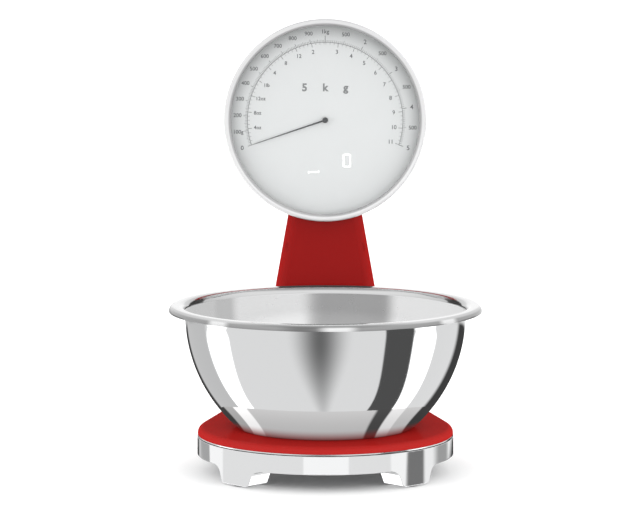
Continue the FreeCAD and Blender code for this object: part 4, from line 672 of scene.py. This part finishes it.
bowl = lathe(
    "bowl_shell", outside + inside,
    [MATERIALS["bowl_outside"], MATERIALS["bowl_rim"], MATERIALS["bowl_inside"]],
    "mixing_bowl", (BOWL_CENTRE.x, BOWL_CENTRE.y), bowl_band, 384,
)
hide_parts("bowl")


# ---------------------------------------------------------------- load cell


def bending_beam():
    """The load cell's beam, cut across in places between its two ends."""
    start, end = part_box("load_cell")
    middle = (start + end) / 2
    free_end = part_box("load_cell_spacer")[1].y
    fixed_end = middle.y + (middle.y - free_end)
    mesh = bmesh.new()
    mesh.from_mesh(frame["nodes"]["load_cell"].data)
    steps = 8
    for step in range(steps + 1):
        where = free_end + (fixed_end - free_end) * step / steps
        everything = [*mesh.verts, *mesh.edges, *mesh.faces]
        bmesh.ops.bisect_plane(
            mesh, geom=everything, plane_co=(0, where, 0), plane_no=(0, 1, 0),
        )
    data = bpy.data.meshes.new("load_cell_beam")
    mesh.to_mesh(data)
    mesh.free()
    item = bpy.data.objects.new("load_cell_beam", data)
    bpy.context.scene.collection.objects.link(item)
    data.materials.append(MATERIALS["bare_aluminium"])
    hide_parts("load_cell")
    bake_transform(item)


bending_beam()


# ---------------------------------------------------------------- dial print

HEAD = Matrix.Translation(DIAL_CENTRE) @ Matrix.Rotation(HEAD_TURN, 4, "X")
INK_DEPTH = -9.14 * MM
FULL = 217.2  # degrees from the nought to the last mark
HALF = FULL / 2
OUNCE = 0.0283495
POUND = 0.453592
INNER_LINE = 58.45  # edges of the thin line, radii in mm
OUTER_LINE = 58.78
KILO_FOOT = 58.7  # where the marks start from the line
POUND_FOOT = 58.5
LONG_REACH = 55.6  # where the marks inside the line end
SHORT_REACH = 57.0
KILO_LABELS = 66.0  # centres of the labels
GRAM_LABELS = 66.2
OUNCE_LABELS = 51.3
POUND_LABELS = 52.0


def dial_point(radius, angle):
    """Point on the dial; angle in degrees clockwise from the top."""
    turn = math.radians(angle)
    x = radius * MM * math.sin(turn)
    y = radius * MM * math.cos(turn)
    return HEAD @ Vector((x, y, INK_DEPTH))


def kilo_angle(kilos):
    """Dial angle of a weight: the first kilogram takes half the scale."""
    if kilos <= 1:
        return -HALF + HALF * kilos
    return HALF * (kilos - 1) / 4


def ink_bars(name, bars, material):
    """Flat bars on the dial, each (start radius, end radius, angle, width in mm)."""
    vertices = []
    faces = []
    for start, end, angle, width in bars:
        turn = math.radians(angle)
        along = Vector((math.sin(turn), math.cos(turn), 0))
        across = Vector((math.cos(turn), -math.sin(turn), 0)) * width / 2
        first = len(vertices)
        for radius, side in ((start, -1), (start, 1), (end, 1), (end, -1)):
            point = along * radius + across * side
            vertices.append(HEAD @ Vector((point.x * MM, point.y * MM, INK_DEPTH)))
        faces.append((first + 3, first + 2, first + 1, first))
    return new_piece(name, vertices, faces, [material], "base", False)


def scale_marks():
    """Ticks of both scales."""
    bars = []
    for number in range(101):
        kilos = number / 100
        reach = 61.6 if number % 10 == 0 else 60.9 if number % 5 == 0 else 60.4
        width = 0.36 if number % 10 == 0 else 0.24
        bars.append((KILO_FOOT, reach, kilo_angle(kilos), width))
    for number in range(1, 81):
        kilos = 1 + number / 20
        reach = 62.0 if number % 20 == 0 else 61.2 if number % 10 == 0 else 60.4
        width = 0.40 if number % 20 == 0 else 0.32 if number % 10 == 0 else 0.24
        bars.append((KILO_FOOT, reach, kilo_angle(kilos), width))
    bars.append((KILO_FOOT, 63.6, 0, 0.40))
    for number in range(36):
        reach = LONG_REACH if number % 4 == 0 else SHORT_REACH
        width = 0.34 if number % 4 == 0 else 0.24
        bars.append((reach, POUND_FOOT, kilo_angle(number * OUNCE), width))
    for number in range(9, 45):
        kilos = number * POUND / 4
        if kilos <= 1 or kilos > 5:
            continue
        reach = LONG_REACH if number % 4 == 0 else SHORT_REACH
        width = 0.34 if number % 4 == 0 else 0.24
        bars.append((reach, POUND_FOOT, kilo_angle(kilos), width))
    ink_bars("dial_ticks", bars, MATERIALS["print_ink"])


def scale_arc():
    """The thin line that both scales stand on."""
    steps = 216
    vertices = []
    faces = []
    for step in range(steps + 1):
        angle = -HALF + FULL * step / steps
        vertices += [dial_point(INNER_LINE, angle), dial_point(OUTER_LINE, angle)]
    for step in range(steps):
        first = 2 * step
        faces.append((first, first + 2, first + 3, first + 1))
    new_piece("dial_arc", vertices, faces, [MATERIALS["print_ink"]], "base", False)


def lettering(name, labels, material, weight=0.07):
    """Upright labels on the dial, each (text, x, y, size in mm), joined into one mesh."""
    mesh = bmesh.new()
    for text, x, y, size in labels:
        curve = bpy.data.curves.new("label", "FONT")
        curve.body = text
        curve.size = size * MM
        curve.align_x = "CENTER"
        curve.align_y = "CENTER"
        curve.resolution_u = 3
        curve.offset = weight * MM
        item = bpy.data.objects.new("label", curve)
        bpy.context.scene.collection.objects.link(item)
        bpy.context.view_layer.update()
        flat = item.to_mesh()
        flat.transform(HEAD @ Matrix.Translation((x * MM, y * MM, INK_DEPTH)))
        mesh.from_mesh(flat)
        item.to_mesh_clear()
        bpy.data.objects.remove(item)
        bpy.data.curves.remove(curve)
    data = bpy.data.meshes.new(name)
    mesh.to_mesh(data)
    mesh.free()
    item = bpy.data.objects.new(name, data)
    bpy.context.scene.collection.objects.link(item)
    data.materials.append(material)
    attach(item, "base")
    return item


def polar(text, radius, angle, size):
    """A label at a radius and an angle clockwise from the top."""
    turn = math.radians(angle)
    return (text, radius * math.sin(turn), radius * math.cos(turn), size)


def scale_labels():
    """Weights in grams and kilograms outside the line, ounces and pounds inside it."""
    labels = [polar("0", KILO_LABELS, -HALF, 4.6)]
    for number in range(1, 10):
        text = "100g" if number == 1 else str(100 * number)
        labels.append(polar(text, GRAM_LABELS, kilo_angle(number / 10), 4.1))
    labels.append(polar("1kg", 66.6, 0, 4.3))
    for kilos in (2, 3, 4, 5):
        labels.append(polar("500", GRAM_LABELS, kilo_angle(kilos - 0.5), 4.1))
        labels.append(polar(str(kilos), KILO_LABELS, kilo_angle(kilos), 4.8))
    for number, text in ((4, "4oz"), (8, "8oz"), (12, "12oz"), (16, "1lb")):
        labels.append(polar(text, OUNCE_LABELS, kilo_angle(number * OUNCE), 3.8))
    for number, text in ((20, "4"), (24, "8"), (28, "12")):
        labels.append(polar(text, POUND_LABELS, kilo_angle(number * OUNCE), 4.0))
    labels.append(polar("2", POUND_LABELS, kilo_angle(2 * POUND), 4.3))
    for number in range(3, 12):
        labels.append(polar(str(number), POUND_LABELS, kilo_angle(number * POUND), 4.3))
    lettering("dial_numerals", labels, MATERIALS["print_ink"])
    marks = [("5", -15.5, 24.4, 8.0), ("k", 0.0, 24.4, 8.0), ("g", 15.5, 24.4, 8.0)]
    lettering("dial_capacity", marks, MATERIALS["print_grey"], 0.28)


def lit_digit():
    """A seven-segment nought and a small unit mark that glow through the dial."""
    across, up = 16.4, -30.5
    wide, tall, stroke = 5.8, 9.9, 0.85
    shapes = []
    for side in (-1, 1):
        for half in (-1, 1):
            shapes.append((across + side * (wide - stroke) / 2, up + half * tall / 4,
                           stroke, tall / 2 - 0.7))
        shapes.append((across, up + side * (tall - stroke) / 2, wide - stroke - 0.9, stroke))
    # the unit mark: a bar with a short upright at each end
    shapes.append((-8.7, -39.2, 5.2, 0.5))
    shapes.append((-5.0, -38.8, 0.6, 1.3))
    shapes.append((-12.4, -39.2, 0.6, 1.5))
    vertices = []
    faces = []
    for x, y, width, height in shapes:
        first = len(vertices)
        for dx, dy in ((-1, -1), (1, -1), (1, 1), (-1, 1)):
            vertices.append(HEAD @ Vector((
                (x + dx * width / 2) * MM, (y + dy * height / 2) * MM, INK_DEPTH,
            )))
        faces.append((first, first + 1, first + 2, first + 3))
    new_piece("lit_digit", vertices, faces, [MATERIALS["lit_segment"]], "base", False)


scale_marks()
scale_arc()
scale_labels()
lit_digit()


# ---------------------------------------------------------------- studio


def panel(g, azimuth, elevation, left, right, bottom, top, corner, soft):
    """1 inside a rounded panel of the studio, 0 outside; all in degrees."""
    centre = (left + right) / 2
    middle = (bottom + top) / 2
    qx = g.math("SUBTRACT", g.math("ABSOLUTE", g.math("SUBTRACT", azimuth, centre)),
                (right - left) / 2 - corner)
    qy = g.math("SUBTRACT", g.math("ABSOLUTE", g.math("SUBTRACT", elevation, middle)),
                (top - bottom) / 2 - corner)
    ox = g.math("MAXIMUM", qx, 0.0)
    oy = g.math("MAXIMUM", qy, 0.0)
    outer = length_of(g, ox, oy)
    inner = g.math("MINIMUM", g.math("MAXIMUM", qx, qy), 0.0)
    distance = g.math("SUBTRACT", g.math("ADD", outer, inner), corner)
    return g.step(distance, -soft, soft, 1.0, 0.0)


def studio():
    """Soft white studio: even light, with grey and white panels seen only in reflections."""
    world = bpy.data.worlds.new("studio")
    bpy.context.scene.world = world
    world.use_nodes = True
    g = Graph(world.node_tree)
    out = g.add("ShaderNodeOutputWorld")
    where = g.add("ShaderNodeTexCoord").outputs["Generated"]
    x, y, z = g.split(where)
    azimuth = g.math("DEGREES", g.math("ARCTAN2", x, g.math("MULTIPLY", y, -1.0)))
    elevation = g.math("DEGREES", g.math("ARCSINE", z))
    # panels sweep outwards towards the ground, as tall cards standing close by would
    drop = g.math("MAXIMUM", g.math("SUBTRACT", g.math("MULTIPLY", elevation, -1.0), 10.0), 0.0)
    shift = g.math("MULTIPLY", g.math("POWER", drop, 2.5), 0.0022)
    side = g.math("SIGN", azimuth)
    aside = g.math("ABSOLUTE", azimuth)
    swept = g.math("MULTIPLY", side,
                   g.math("MAXIMUM", g.math("SUBTRACT", aside, shift), 0.0))
    half_swept = g.math("SUBTRACT", azimuth, g.math("MULTIPLY", shift, 0.5))

    # low studio, as the bowl's wall sees it
    low = 0.86
    for left, right, top, corner, soft, value in (
        (-200, -157, 0, 4, 5.0, 0.055),
        (-157, -116, 0, 2, 3.0, 0.62),
        (-116, -87, -9.5, 6, 1.0, 1.9),
        (77.5, 104.5, -9.5, 6, 1.0, 1.9),
        (141, 200, 0, 4, 5.0, 0.055),
    ):
        mask = panel(g, swept, elevation, left, right, -200, top, corner, soft)
        low = g.blend(mask, low, value)
    card = g.math("MULTIPLY", g.step(half_swept, 49.5, 51.5),
                  g.step(swept, 76.5, 78.5, 1.0, 0.0))
    low = g.blend(card, low, 0.09)
    wedge_width = g.step(elevation, -80.0, -12.0, 19.0, 29.0)
    wedge = g.step(g.math("ABSOLUTE", g.math("ADD", azimuth, 4.5)), 0.0, wedge_width, 1.0, 0.0)
    depth = g.step(elevation, -105.0, -15.0, 0.0, 0.86)
    low = g.blend(g.math("MULTIPLY", wedge, depth), low, 0.05)

    # level studio, as upright walls see it
    level = 0.87
    for left, right, soft, value in (
        (-200, -150, 4.0, 0.55),
        (-150, -127, 1.0, 0.42),
        (-127, -104, 1.5, 1.08),
        (-19.5, 20.5, 0.8, 1.08),
        (60, 77, 1.5, 1.06),
        (78, 99, 2.0, 0.20),
        (99, 112, 3.0, 0.98),
        (117, 142, 6.0, 0.38),
        (144, 200, 3.0, 0.95),
    ):
        mask = panel(g, azimuth, elevation, left, right, -90, 200, 0.5, soft)
        level = g.blend(mask, level, value)

    # high studio, as the inside of the bowl and the rim see it
    up = g.step(elevation, 0.0, 40.0, 0.98, 1.08)
    up = g.blend(g.step(elevation, 45.0, 75.0), up, 0.52)
    back = g.step(g.math("ABSOLUTE", azimuth), 166.0, 172.0)
    up = g.blend(g.math("MULTIPLY", back, g.step(elevation, 40.0, 60.0, 1.0, 0.0)), up, 1.25)

    glossy = g.blend(g.step(elevation, -9.3, -8.3), low, level)
    glossy = g.blend(g.step(elevation, -3.0, 3.0), glossy, up)
    # even light for matt surfaces: strong from both sides and above, weaker from the front
    sides = g.step(g.math("ABSOLUTE", x), 0.1, 0.9, 0.72, 1.75)
    even = g.blend(g.step(elevation, 30.0, 80.0), sides, 1.45)
    path = g.add("ShaderNodeLightPath")
    light = g.blend(path.outputs["Is Glossy Ray"], even, glossy)
    light = g.blend(path.outputs["Is Camera Ray"], light, 1.05)
    background = g.add("ShaderNodeBackground")
    g.put(background.inputs["Color"], (1.0, 1.0, 1.0, 1.0))
    g.put(background.inputs["Strength"], light)
    g.put(out.inputs["Surface"], background.outputs[0])


def floor():
    """Pale floor, open from below so that the underside can be looked at; it glows with painted
    light away from the scale, so its shadow near the base is partly real and partly painted.
    """
    half = 40.0
    mesh = bpy.data.meshes.new("floor")
    mesh.from_pydata(
        [(-half, -half, 0), (half, -half, 0), (half, half, 0), (-half, half, 0)], [],
        [(0, 1, 2, 3)],
    )
    item = bpy.data.objects.new("floor", mesh)
    bpy.context.scene.collection.objects.link(item)
    material = bpy.data.materials.new("floor_with_painted_glow")
    material.use_nodes = True
    g = Graph(material.node_tree)
    out = g.add("ShaderNodeOutputMaterial")
    shader = g.add("ShaderNodeBsdfPrincipled")
    where = g.place()
    tone = g.noise(where, 3.0, 3.0)
    g.put(shader.inputs["Base Color"],
          g.blend_colour(tone, (0.90, 0.90, 0.90), (0.93, 0.93, 0.93)))
    shader.inputs["Roughness"].default_value = 0.9
    shader.inputs["Specular IOR Level"].default_value = 0.0
    # painted light: the floor glows more strongly away from the scale and hardly at all beneath
    # it
    radius = around_bowl(g)[1]
    shader.inputs["Emission Color"].default_value = (1, 1, 1, 1)
    g.put(shader.inputs["Emission Strength"], g.step(radius, 85 * MM, 150 * MM, 0.04, 0.40))
    hole = g.add("ShaderNodeBsdfTransparent")
    mix = g.add("ShaderNodeMixShader")
    g.put(mix.inputs[0], g.add("ShaderNodeNewGeometry").outputs["Backfacing"])
    g.put(mix.inputs[1], shader.outputs[0])
    g.put(mix.inputs[2], hole.outputs[0])
    g.put(out.inputs["Surface"], mix.outputs[0])
    mesh.materials.append(material)
    item.visible_glossy = False


def camera():
    """A long lens in front, a little above the scale and looking slightly down."""
    data = bpy.data.cameras.new("view")
    data.lens = 185.4
    data.sensor_width = 36.0
    data.clip_end = 100.0
    item = bpy.data.objects.new("view", data)
    bpy.context.scene.collection.objects.link(item)
    item.location = (-0.0039, -2.38275, 0.4309)
    item.rotation_euler = (math.radians(90 - 6.68), 0, 0)
    bpy.context.scene.camera = item


studio()
floor()
camera()
scene = bpy.context.scene
scene.view_settings.view_transform = "Standard"
scene.cycles.max_bounces = 12
scene.cycles.transparent_max_bounces = 16
